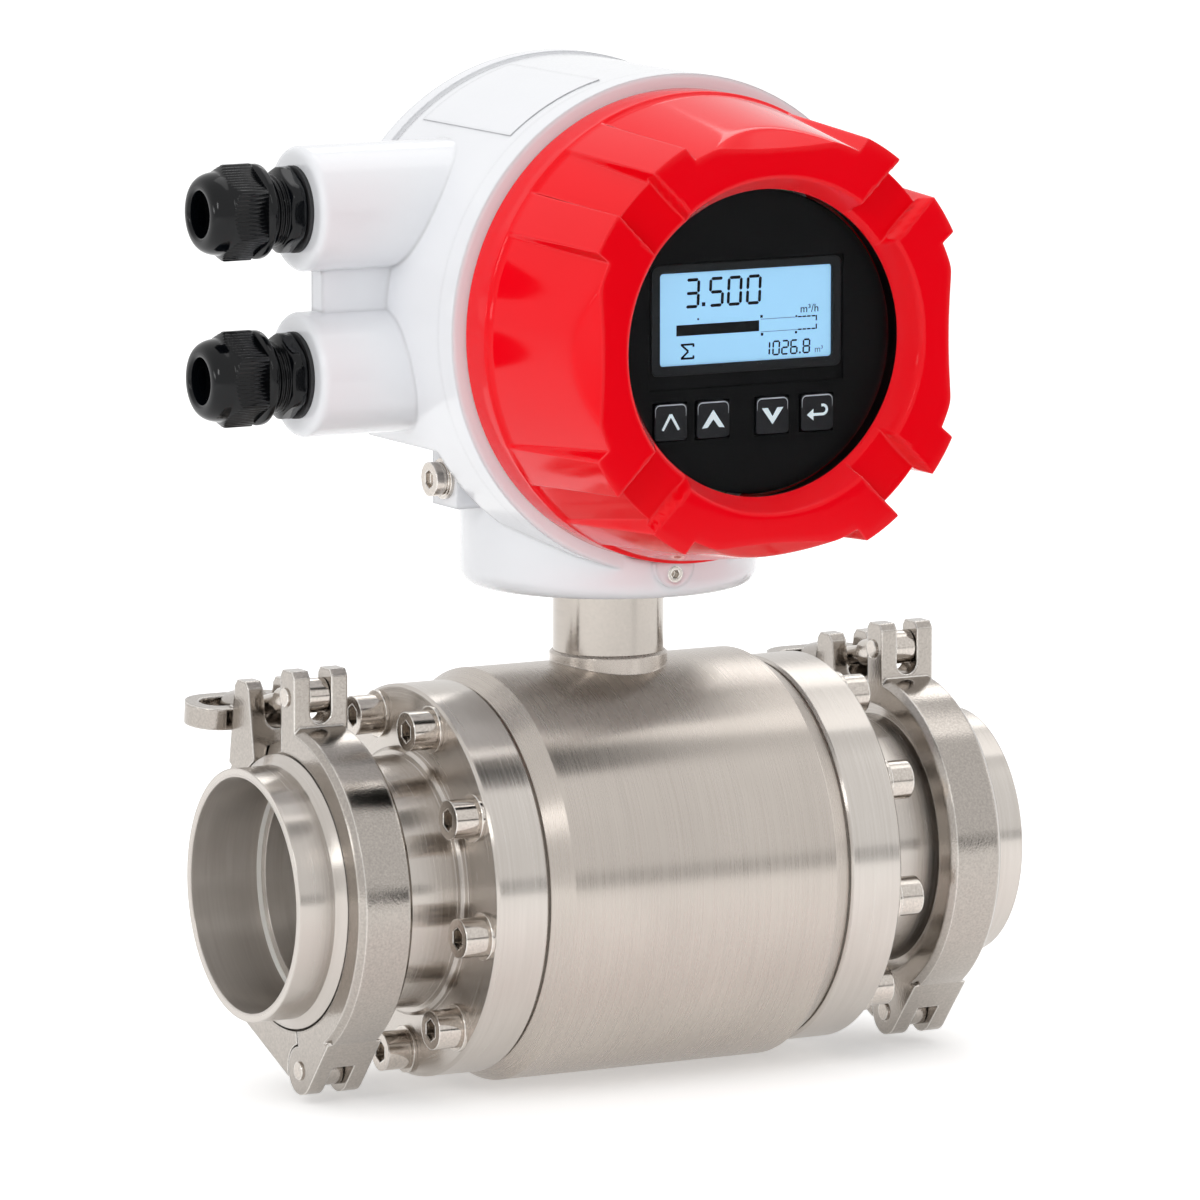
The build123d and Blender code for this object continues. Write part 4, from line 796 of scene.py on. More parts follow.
@dataclass
class CoverShell:
    """The red screwed cover as one worked-out surface."""

    height: float = 168.9
    front: float = -104.0
    front_zone: float = 12.0
    front_rows: int = 22
    side_rows: int = 16
    rim_back: float = -42.0
    rim_end: float = -54.0
    rim_step: float = 0.8
    rim_radius: float = 70.5
    cone_radius: float = 69.6
    face_radius: float = 62.3
    face_inner: float = 49.5
    face_round: float = 0.9
    window: float = 45.4
    bevel_end: float = -95.9
    glass_front: float = -95.1
    glass_radius: float = 50.5
    inner: float = 61.5
    ring_back: float = -86.6
    spigot: float = 67.5
    spigot_end: float = -29.0
    ridge_radius: float = 67.0
    ridge_rim_rise: float = 0.7
    ridge_from: float = 25.9
    ridge_from_run: float = 1.4
    ridge_to: float = 38.9
    ridge_to_run: float = 1.1
    notch_half: float = 8.15
    notch_run: float = 0.9
    notch_depth: float = 6.0
    notch_margin: float = 0.5
    scallop_radius: float = 181.0
    scallop_middle: float = 58.0
    scallop_slope: float = 33.0
    scallop_blend: float = 0.7

    def angles(self) -> Array:
        """Crowd the columns where ridges and notches have their edges.

        Returns:
            The columns' angles all round, in radians.
        """
        runs = (
            (0.0, 20.0, 24), (20.0, 25.0, 10), (25.0, 28.5, 20), (28.5, 36.0, 12), (36.0, 41.0, 34),
        )
        parts = [np.linspace(*run, endpoint=False) for run in runs]
        lobe = np.concatenate([*parts, np.linspace(41.0, 45.0, 6)])
        half = np.concatenate([-lobe[:0:-1], lobe])[:-1]
        return np.radians(np.concatenate([half + 90.0 * index for index in range(4)]))

    def ridge(self, angle: Array, station: Array) -> Array:
        """Work out the ridges' height over the cone, which is full at the front.

        A ridge is a smooth step up at its inner edge and down at its outer edge.

        Args:
            angle: Angles in radians.
            station: Stations along the cover's axis.

        Returns:
            The height at each angle.
        """
        from_lobe = np.abs((np.degrees(angle) + 45.0) % 90.0 - 45.0)
        inner = eased((from_lobe - self.ridge_from) / self.ridge_from_run)
        outer = eased((self.ridge_to - from_lobe) / self.ridge_to_run)
        forward = (self.rim_end - station) / (self.rim_end - self.front)
        full = self.ridge_radius - self.face_radius
        rise = self.ridge_rim_rise + (full - self.ridge_rim_rise) * forward
        return inner * outer * rise

    def outside(self, angle: Array, station: Array) -> Array:
        """Work out the outer radius: the cone with its ridges, cut by the scallops.

        A scallop is a cone about a far axis. Its edge lies at
        far * cos(a) - sqrt(reach^2 - (far * sin(a))^2).

        Args:
            angle: Angles in radians.
            station: Stations along the cover's axis.

        Returns:
            The radius at each angle.
        """
        forward = (self.rim_end - station) / (self.rim_end - self.front)
        cone = self.cone_radius + (self.face_radius - self.cone_radius) * forward
        ridged = cone + self.ridge(angle, station)
        far = self.scallop_middle + self.scallop_radius
        lobe_angle = (angle + math.pi / 4) % (math.pi / 2) - math.pi / 4
        slope = math.tan(math.radians(self.scallop_slope))
        reach = self.scallop_radius - slope * (station - self.front)
        inside_root = np.maximum(reach**2 - (far * np.sin(lobe_angle)) ** 2, 1.0)
        scallop = far * np.cos(lobe_angle) - np.sqrt(inside_root)
        return soft_min(ridged, scallop, self.scallop_blend)

    def profile(self, angle: Array) -> list[tuple[Any, Any, float]]:
        """List the profile's corners, from the front face over the outside and back inside.

        Args:
            angle: The columns' angles.

        Returns:
            Each corner's station and radius, and how far it is rounded.
        """
        ones = np.ones_like(angle)
        first = self.front + self.front_zone
        stations = np.concatenate([
            np.linspace(self.front, first, self.front_rows, endpoint=False),
            np.linspace(first, self.rim_end - self.rim_step, self.side_rows),
        ])
        face = self.outside(angle, ones * self.front) - self.face_inner
        corners: list[tuple[Any, Any, float]] = [(self.front, self.face_inner, self.face_round)]
        for part in (0.2, 0.4, 0.6, 0.8):
            corners.append((self.front, self.face_inner + face * part, 0.0))
        for index, station in enumerate(stations):
            rounding = self.face_round if index == 0 else 0.0
            corners.append((station, self.outside(angle, ones * station), rounding))
        corners += [
            (self.rim_end, self.rim_radius, 0.5),
            (self.rim_back, self.rim_radius, 0.6),
            (self.rim_back, self.spigot, 0.0),
            (self.spigot_end, self.spigot, 0.5),
            (self.spigot_end, self.inner, 0.5),
            (self.ring_back, self.inner, 0.5),
            (self.ring_back, self.glass_radius, 0.3),
            (self.glass_front, self.glass_radius, 0.1),
            (self.glass_front, self.window, 0.2),
            (self.bevel_end, self.window, 0.2),
        ]
        for part in (0.25, 0.5, 0.75):
            station = self.bevel_end + (self.front - self.bevel_end) * part
            corners.append((station, self.window + (self.face_inner - self.window) * part, 0.0))
        return corners

    def build(self) -> Piece:
        """Work out the closed surface, with a notch in the front of each lobe, and add it.

        Returns:
            The cover, which replaces its CAD node.
        """
        angle = self.angles()
        ones = np.ones_like(angle)
        corners = self.profile(angle)
        stacked = [np.stack([station * ones, radius * ones]) for station, radius, _ in corners]
        rows = []
        for index, (*_, rounding) in enumerate(corners):
            here, after = stacked[index], stacked[(index + 1) % len(corners)]
            if rounding == 0.0:
                rows.append(here[None])
            else:
                rows.append(rounded_corner(stacked[index - 1], here, after, rounding))
        along, radial = np.concatenate(rows).transpose(1, 0, 2)
        lobe_angle = angle % (math.pi / 2) - math.pi / 4
        aside = np.abs(radial * np.sin(lobe_angle)[None, :])
        inside = eased((self.notch_half - aside) / self.notch_run)
        floor = self.front + self.notch_depth * inside
        outer = radial > self.window - self.notch_margin
        along = np.where(outer, np.maximum(along, floor), along)
        points = np.stack([
            radial * np.cos(angle)[None, :],
            along,
            self.height + radial * np.sin(angle)[None, :],
        ], axis=-1)
        return add_mesh("cover_shell", points.reshape(-1, 3) * MM, torus_faces(*along.shape))


@dataclass
class GlandCap:
    """A ribbed cap nut of a cable gland."""

    label: str
    axis: Pair
    start: float = -115.2
    collar: float = 14.15
    collar_end: float = -117.4
    hex_end: float = -128.6
    across_flats: float = 25.6
    corner: float = 14.7
    corner_blend: float = 0.20
    dome: float = 12.4
    tip: float = -134.8
    mouth: float = 6.9
    bore: float = 11.2
    step: float = -125.1
    ribs: int = 66
    rib_points: int = 14
    rib_depth: float = 0.36
    chamfer: float = 1.05

    def build(self) -> Piece:
        """Work out the cap: a ribbed hexagon with turned-off corners, then a dome to the mouth.

        The ribs take rib_depth * (1 + cos(ribs * angle)) / 2 off the hexagon's radius. Near the
        dome it is also held under a cone that rises from the dome's radius by chamfer per
        millimetre.

        Returns:
            The cap, which replaces its CAD node.
        """
        angle = np.linspace(0.0, 2 * math.pi, self.ribs * self.rib_points, endpoint=False)
        hexagon = hexagon_radius(angle, self.across_flats / 2, self.corner, self.corner_blend)
        ribbed = hexagon - self.rib_depth * (0.5 + 0.5 * np.cos(self.ribs * angle))
        # The tenths of a millimetre below round the edges of the collar, the hexagon and the mouth.
        rows: list[tuple[float, Any]] = [
            (self.start, self.bore),
            (self.start, self.collar - 0.45),
            (self.start - 0.15, self.collar - 0.12),
            (self.start - 0.45, self.collar),
            (self.collar_end + 0.45, self.collar),
            (self.collar_end + 0.15, self.collar - 0.15),
            (self.collar_end, soft_min(hexagon - 0.45, self.collar - 0.3, 0.15)),
            (self.collar_end - 0.35, hexagon - 0.42),
            (self.collar_end - 0.5, ribbed),
        ]
        for part in (2.4, 1.9, 1.5, 1.2, 0.9, 0.65, 0.4, 0.2, 0.05):
            cone = self.dome + 0.25 + self.chamfer * part
            rows.append((self.hex_end + part, soft_min(ribbed, cone, 0.12)))
        rows.append((self.hex_end - 0.12, self.dome + 0.12))
        lip = self.mouth + 1.2
        for turn in np.linspace(0.05, 1.0, 16) * math.pi / 2:
            station = self.hex_end + (self.tip - self.hex_end) * math.sin(turn)
            rows.append((station, lip + (self.dome - lip) * math.cos(turn) ** 0.8))
        rows += [
            (self.tip + 0.05, self.mouth + 0.7),
            (self.tip + 0.3, self.mouth + 0.2),
            (self.tip + 0.8, self.mouth),
            (self.step, self.mouth),
            (self.step, self.bore),
        ]
        return ring_surface(f"{self.label}_cap_nut", rows, angle, self.axis)


@dataclass
class GlandBody:
    """The gland's fixed part: a plain nut, a threaded neck and the thread in the housing."""

    label: str
    axis: Pair
    inner_end: float = -94.0
    thread: float = 9.95
    seal_face: float = -104.2
    hex_end: float = -109.8
    corner: float = 13.65
    corner_blend: float = 0.12
    neck: float = 10.85
    neck_end: float = -124.8
    bore: float = 8.4
    pitch: float = 1.5
    thread_depth: float = 0.62
    thread_start: float = 0.5
    thread_run: float = 6.8
    thread_row: float = 0.125
    points: int = 240

    def build(self) -> Piece:
        """Work out the body, with a helical groove on the part of the neck that shows.

        The groove's depth is thread_depth * (1 - cos(2 pi * x / pitch - angle)) / 2, and it fades
        in over thread_start.

        Returns:
            The gland body, which replaces its CAD node.
        """
        angle = np.linspace(0.0, 2 * math.pi, self.points, endpoint=False)
        wide = self.corner * math.cos(math.pi / 6)
        hexagon = hexagon_radius(angle, wide, self.corner, self.corner_blend)
        # The tenths of a millimetre below bevel the edges of the thread, the hexagon and the neck.
        rows: list[tuple[float, Any]] = [
            (self.inner_end, self.bore),
            (self.inner_end, self.thread - 0.4),
            (self.inner_end - 0.4, self.thread),
            (self.seal_face, self.thread),
            (self.seal_face, wide - 0.7),
        ]
        steps = (0.05, 0.2, 0.5, 0.8, 1.1)
        for part in steps:
            cone = wide - 0.35 + 1.3 * part
            rows.append((self.seal_face - part, soft_min(hexagon, cone, self.corner_blend)))
        for part in steps[::-1]:
            cone = wide - 0.45 + 1.3 * part
            rows.append((self.hex_end + part, soft_min(hexagon, cone, self.corner_blend)))
        rows += [(self.hex_end, wide - 0.9), (self.hex_end, self.neck + 0.25)]
        for along in np.arange(0.1, self.thread_run, self.thread_row):
            turn = 2 * math.pi * along / self.pitch - angle
            fade = eased(along / self.thread_start)
            depth = self.thread_depth * 0.5 * (1 - np.cos(turn)) * fade
            rows.append((self.hex_end - along, self.neck - depth))
        rows += [
            (self.neck_end + 0.3, self.neck),
            (self.neck_end, self.neck - 0.3),
            (self.neck_end, self.bore),
        ]
        return ring_surface(f"{self.label}_gland", rows, angle, self.axis)


# Segments that each figure lights, lettered clockwise from the top with g in the middle.
SEGMENTS = {
    "0": "abcdef", "1": "bc", "2": "abged", "3": "abgcd", "5": "afgcd", "6": "afgedc",
    "8": "abcdefg",
}
# The reading and the total: each figure with its left end.
READING = (("3", -23.5), ("5", -15.4), ("0", -9.3), ("0", -2.9))
TOTAL = (("1", 2.7), ("0", 6.0), ("2", 9.0), ("6", 12.0), ("8", 16.2))
# Points and ticks: left, low and size.
DOTS = (
    (-17.6, 180.2, 1.15), (15.1, 164.4, 0.55), (-19.1, 176.2, 0.55), (2.0, 175.7, 0.8),
    (2.2, 170.4, 0.8), (13.7, 170.4, 0.7), (13.9, 175.3, 0.5),
)
# The bar and the end of its scale: left, right, low and high.
BARS = ((-26.1, 1.6, 171.8, 175.0), (20.7, 21.1, 171.4, 172.9), (20.7, 21.1, 173.9, 175.5))
SCALE_LINES = ((2.2, 20.8, 175.2, 175.36), (2.2, 20.8, 171.45, 171.6))
# Dashes of the scale: the low of each row, the lefts, and the length and height of one.
DASH_LOWS, DASH_LEFTS, DASH_SIZE = (171.35, 175.1), (14.8, 16.3, 17.8, 19.4), (1.1, 0.42)
# Strokes of the sum sign.
SUM_SIGN = (
    ((-24.6, 169.2), (-20.3, 169.2)), ((-24.5, 169.2), (-22.1, 167.15)),
    ((-22.1, 167.15), (-24.5, 165.1)), ((-24.6, 165.1), (-20.3, 165.1)),
    ((-20.4, 169.4), (-20.4, 168.4)), ((-20.4, 164.9), (-20.4, 165.9)),
)
# Outlines of the bezel: left, right, low, high, corner radius and depth.
BEZEL = (
    (-34.9, 28.8, 160.3, 193.0, 2.4, -89.22), (-34.9, 28.8, 160.3, 193.0, 2.4, -89.52),
    (-34.75, 28.65, 160.45, 192.85, 2.3, -89.66), (-32.2, 26.0, 162.9, 190.7, 1.2, -89.66),
    (-31.95, 25.75, 163.15, 190.45, 1.0, -89.50), (-31.95, 25.75, 163.15, 190.45, 1.0, -88.75),
)


@dataclass
class DisplayPrint:
    """Figures, bar, units and bezel of the lit panel. Outlines are in x and z."""

    surface: float = -88.7
    thick: float = 0.06
    pale_thick: float = 0.048
    slant: float = 0.045
    gap_share: float = 0.16
    tip_share: float = 0.42
    reading_low: float = 179.8
    reading_size: Pair = (5.0, 8.8)
    reading_stroke: float = 0.92
    total_low: float = 164.3
    total_size: Pair = (2.55, 4.4)
    total_stroke: float = 0.5
    sum_stroke: float = 0.6
    sum_tip: float = 0.05

    def prism(self, name: str, outlines: list[Array], surface: float, thick: float) -> Piece:
        """Raise flat outlines off a plane that faces the viewer.

        Args:
            name: The object's name.
            outlines: Convex (n, 2) outlines.
            surface: The plane's y.
            thick: How far they stand out towards -Y.

        Returns:
            One object with all the raised outlines.
        """
        points, faces, count = [], [], 0
        for outline in outlines:
            size = len(outline)
            for depth in (surface, surface - thick):
                flat = (outline[:, 0], np.full(size, depth), outline[:, 1])
                points.append(np.stack(flat, axis=1))
            back = np.arange(size) + count
            front = back + size
            sides = np.stack([back, np.roll(back, -1), np.roll(front, -1), front], axis=1)
            faces += [front.tolist(), back[::-1].tolist(), *sides.tolist()]
            count += 2 * size
        mesh = bpy.data.meshes.new(name)
        mesh.from_pydata((np.concatenate(points) * MM).tolist(), [], faces)
        mesh.validate()
        outward(mesh)
        return linked(name, mesh)

    def bar(self, ends: tuple[Pair, Pair], width: float, tip: float) -> Array:
        """Draw a stroke between two points, with pointed ends.

        Args:
            ends: Its two ends.
            width: Its width.
            tip: The length of each pointed end.

        Returns:
            A (6, 2) outline.
        """
        first, last = (np.array(end, dtype=float) for end in ends)
        run = (last - first) / np.linalg.norm(last - first)
        side = np.array([-run[1], run[0]]) * width / 2
        return np.array([
            first, first + run * tip + side, last - run * tip + side,
            last, last - run * tip - side, first + run * tip - side,
        ])

    def digit(self, figure: str, place: Pair, size: Pair, stroke: float) -> list[Array]:
        """Draw one seven-segment figure, which leans to the right by the slant.

        Args:
            figure: The figure.
            place: Its lower left corner.
            size: Its width and height.
            stroke: The width of a segment.

        Returns:
            An outline for each segment that is lit.
        """
        gap, tip = stroke * self.gap_share, stroke * self.tip_share
        x0, x1 = stroke / 2, size[0] - stroke / 2
        y0, y1, y2 = stroke / 2, size[1] / 2, size[1] - stroke / 2
        ends = {
            "a": ((x0 + gap, y2), (x1 - gap, y2)), "g": ((x0 + gap, y1), (x1 - gap, y1)),
            "d": ((x0 + gap, y0), (x1 - gap, y0)), "f": ((x0, y1 + gap), (x0, y2 - gap)),
            "b": ((x1, y1 + gap), (x1, y2 - gap)), "e": ((x0, y0 + gap), (x0, y1 - gap)),
            "c": ((x1, y0 + gap), (x1, y1 - gap)),
        }
        lean = np.array([[1.0, 0.0], [self.slant, 1.0]])
        lit = [self.bar(ends[key], stroke, tip) for key in SEGMENTS[figure]]
        return [outline @ lean + np.array(place) for outline in lit]

    def build(self) -> list[tuple[Piece, Look]]:
        """Make the printed pieces.

        Returns:
            Each object with its finish.
        """
        dark: list[Array] = []
        for figure, left in READING:
            place = (left, self.reading_low)
            dark += self.digit(figure, place, self.reading_size, self.reading_stroke)
        for figure, left in TOTAL:
            place = (left, self.total_low)
            dark += self.digit(figure, place, self.total_size, self.total_stroke)
        boxes = [(left, left + size, low, low + size) for left, low, size in DOTS]
        boxes += [
            (left, left + DASH_SIZE[0], low, low + DASH_SIZE[1])
            for low in DASH_LOWS for left in DASH_LEFTS
        ]
        dark += [self.rectangle(*box) for box in (*boxes, *BARS)]
        dark += [self.bar(ends, self.sum_stroke, self.sum_tip) for ends in SUM_SIGN]
        grey = [self.rectangle(*box) for box in SCALE_LINES]
        loops = [(self.rounded(*sizes), depth) for *sizes, depth in BEZEL]
        return [
            (self.loft("display_bezel", loops), Look.BEZEL),
            (self.prism("display_figures", dark, self.surface, self.thick), Look.INK),
            (self.prism("display_scale", grey, self.surface, self.pale_thick), Look.PALE_INK),
            (self.text("display_unit", "m³/h", (15.4, 176.5), 3.4), Look.INK),
            (self.text("display_total_unit", "m³", (20.3, 164.5), 2.7), Look.PALE_INK),
        ]

    def rectangle(self, left: float, right: float, low: float, high: float) -> Array:
        """A rectangle as a (4, 2) outline."""
        return np.array([(left, low), (right, low), (right, high), (left, high)], dtype=float)

    def rounded(self, left: float, right: float, low: float, high: float, radius: float) -> Array:
        """Draw a rectangle with rounded corners.

        Args:
            left: X of its left side.
            right: X of its right side.
            low: Z of its bottom.
            high: Z of its top.
            radius: The radius of its corners.

        Returns:
            A (32, 2) outline.
        """
        left, right, low, high = left + radius, right - radius, low + radius, high - radius
        centres = np.array([(right, high), (left, high), (left, low), (right, low)])
        turns = np.linspace(0.0, math.pi / 2, 8) + np.arange(4)[:, None] * math.pi / 2
        arcs = np.stack([np.cos(turns), np.sin(turns)], axis=-1) * radius
        return (centres[:, None, :] + arcs).reshape(-1, 2)

    def loft(self, name: str, loops: list[tuple[Array, float]]) -> Piece:
        """Join outlines at different depths into one ring that closes on itself.

        Args:
            name: The object's name.
            loops: Each outline with its y.

        Returns:
            The ring.
        """
        rows = [
            np.stack([loop[:, 0], np.full(len(loop), depth), loop[:, 1]], axis=1)
            for loop, depth in loops
        ]
        faces = torus_faces(len(rows), len(rows[0]))
        return add_mesh(name, np.concatenate(rows) * MM, faces, smooth=False)

    def text(self, name: str, words: str, place: Pair, size: float) -> Piece:
        """Turn a word into a thin mesh that lies on the panel.

        Args:
            name: The object's name.
            words: The text.
            place: X of its left end and z of its base line.
            size: The font's size.

        Returns:
            The mesh object, with its place in its mesh.
        """
        curve = bpy.data.curves.new(name, "FONT")
        curve.body = words
        curve.size = size * MM
        curve.extrude = self.thick * MM / 2
        holder = linked(f"{name}_text", curve)
        graph = bpy.context.evaluated_depsgraph_get()
        mesh = bpy.data.meshes.new_from_object(holder.evaluated_get(graph))
        bpy.data.objects.remove(holder)
        turn = Matrix.Rotation(math.radians(90.0), 4, "X")
        middle = Vector((place[0], self.surface - self.thick / 2, place[1])) * MM
        mesh.transform(Matrix.Translation(middle) @ turn)
        mesh.name = name
        return linked(name, mesh)


@dataclass
class KeySymbols:
    """Symbols and painted highlights on the top edges that stand a little out of the four keys."""

    printer: DisplayPrint
    middles: tuple[float, float, float, float] = (-28.8, -14.6, 5.3, 20.4)
    height: float = 146.8
    surface: float = -90.3
    thick: float = 0.08
    half_key: float = 5.1
    key_corner: float = 1.5
    glint_low: float = 1.6

    def stroke(self, points: list[Pair], widths: list[float]) -> list[Array]:
        """Join points by straight strokes whose width may change along them.

        Args:
            points: The points in x and z.
            widths: The stroke's width at each point.

        Returns:
            An outline for each stroke.
        """
        outlines = []
        for start, end, wide, thin in zip(points, points[1:], widths, widths[1:]):
            first, last = np.array(start), np.array(end)
            run = (last - first) / np.linalg.norm(last - first)
            side = np.array([-run[1], run[0]]) / 2
            outlines.append(np.array([
                first + side * wide, last + side * thin, last - side * thin, first - side * wide,
            ]))
        return outlines

    def on_keys(self, name: str, shapes: Iterable[list[Array]], thick: float) -> list[Any]:
        """Raise one shape on each key.

        Args:
            name: What the objects' names start with.
            shapes: The outlines for each key in turn.
            thick: How far they stand out.

        Returns:
            Each object with the body that it rides on.
        """
        return [
            (self.printer.prism(f"{name}_{key}", shape, self.surface, thick), f"key_{key}_body")
            for key, shape in enumerate(shapes, start=1)
        ]

    def symbols(self) -> list[tuple[Piece, str]]:
        """Make one symbol for each key: thin and bold arrow up, arrow down and return.

        Returns:
            Each object with the body that it rides on.
        """
        (x1, x2, x3, x4), z = self.middles, self.height
        ends = [(x1 - 2.7, z - 2.3), (x1, z + 2.3), (x1 + 2.7, z - 2.3)]
        up = self.stroke(ends, [0.75, 0.85, 0.75])
        bold = [
            np.array([(x2 - 3.8, z - 2.5), (x2, z + 2.9), (x2, z + 0.1), (x2 - 1.9, z - 2.3)]),
            np.array([(x2, z + 2.9), (x2 + 3.8, z - 2.5), (x2 + 1.9, z - 2.3), (x2, z + 0.1)]),
        ]
        down = [
            np.array([(x3 - 3.6, z + 2.3), (x3 - 1.6, z + 2.3), (x3, z - 0.3), (x3, z - 2.6)]),
            np.array([(x3, z - 2.6), (x3, z - 0.3), (x3 + 1.6, z + 2.3), (x3 + 3.6, z + 2.3)]),
        ]
        turns = np.linspace(math.radians(110), math.radians(-90), 12)
        arc = [(x4 + 1.9 + 1.35 * math.cos(t), z + 0.75 + 1.35 * math.sin(t)) for t in turns]
        back = self.stroke([*arc, (x4 - 1.6, z - 0.6)], [0.8] * (len(arc) + 1))
        back.append(np.array([(x4 - 3.5, z - 0.6), (x4 - 1.3, z - 2.3), (x4 - 1.3, z + 1.1)]))
        return self.on_keys("key_symbol", (up, bold, down, back), self.thick)

    def glints(self) -> list[tuple[Piece, str]]:
        """Make a painted highlight on each key's top edge, which thins out round its corners.

        Returns:
            Each object with the body that it rides on.
        """
        turns = np.linspace(0.0, math.pi / 2, 7)
        flat, radius = self.half_key - self.key_corner, self.key_corner
        across, up = flat + radius * np.cos(turns), self.height + flat + radius * np.sin(turns)
        half = [(self.half_key, self.height + self.glint_low), *zip(across, up)]
        growing = [0.06, *np.linspace(0.14, 0.34, 7)]
        widths = growing + growing[::-1]
        shapes = []
        for middle in self.middles:
            right = [(middle + x, z) for x, z in half]
            left = [(middle - x, z) for x, z in reversed(half)]
            shapes.append(self.stroke(right + left, widths))
        return self.on_keys("key_glint", shapes, self.thick / 2)


# Stage: its sizes are in metres


def background_rays(tree: Any) -> Any:
    """Pick the rays that show the background: the camera's, and those of metal and glass.

    Args:
        tree: The node tree.

    Returns:
        The socket of a value that is 1 for those rays and 0 for the rest.
    """
    rays = add_node(tree, "LightPath").outputs
    seen = math_node(tree, "MAXIMUM", rays["Is Camera Ray"], rays["Is Glossy Ray"])
    return math_node(tree, "MAXIMUM", seen, rays["Is Transmission Ray"])


def matt_sheet(name: str, corners: list[Any], shade: float) -> Piece:
    """Add a flat matt sheet for the stage.

    Args:
        name: The name of the sheet and of its material.
        corners: Its four corners.
        shade: How light its grey is.

    Returns:
        The sheet.
    """
    mesh = bpy.data.meshes.new(name)
    mesh.from_pydata([tuple(corner) for corner in corners], [], [[0, 1, 2, 3]])
    material = bpy.data.materials.new(name)
    material.use_nodes = True
    tree = material.node_tree
    grey = (shade, shade, shade, 1.0)
    values = {"Base Color": grey, "Roughness": 1.0, "Specular IOR Level": 0.0}
    feed(tree, tree.nodes["Principled BSDF"], values)
    mesh.materials.append(material)
    sheet = linked(name, mesh)
    return sheet


@dataclass(frozen=True)
class SoftBox:
    """A lamp that looks at the meter, with its power in watts. Reflections may show it or not."""

    name: str
    place: tuple[float, float, float]
    size: Pair
    power: float
    shows: bool = True
    aim: tuple[float, float, float] = (0.0, 0.0, 0.08)

    def hang(self) -> None:
        """Hang the lamp."""
        lamp = bpy.data.lights.new(self.name, "AREA")
        lamp.shape = "RECTANGLE"
        lamp.size, lamp.size_y = self.size
        lamp.energy = self.power
        holder = linked(self.name, lamp)
        holder.visible_glossy = self.shows
        turn = (Vector(self.aim) - Vector(self.place)).to_track_quat("-Z", "Y").to_matrix()
        holder.matrix_world = Matrix.Translation(self.place) @ turn.to_4x4()


LAMPS = (
    SoftBox("left_box", (-1.9, -1.0, 1.3), (1.6, 1.8), 12.0, shows=False),
    SoftBox("left_window", (-1.7, -1.1, 1.0), (0.26, 0.48), 3.4),
    SoftBox("right_box", (1.9, -0.5, 0.8), (0.5, 1.5), 2.8),
    SoftBox("top_box", (0.6, 0.25, 2.2), (1.7, 1.3), 6.8),
    SoftBox("back_box", (1.05, 1.27, 1.55), (0.9, 0.45), 2.8),
    SoftBox("bore_box", (-1.6, 0.2, 0.3), (0.5, 0.15), 1.2),
)


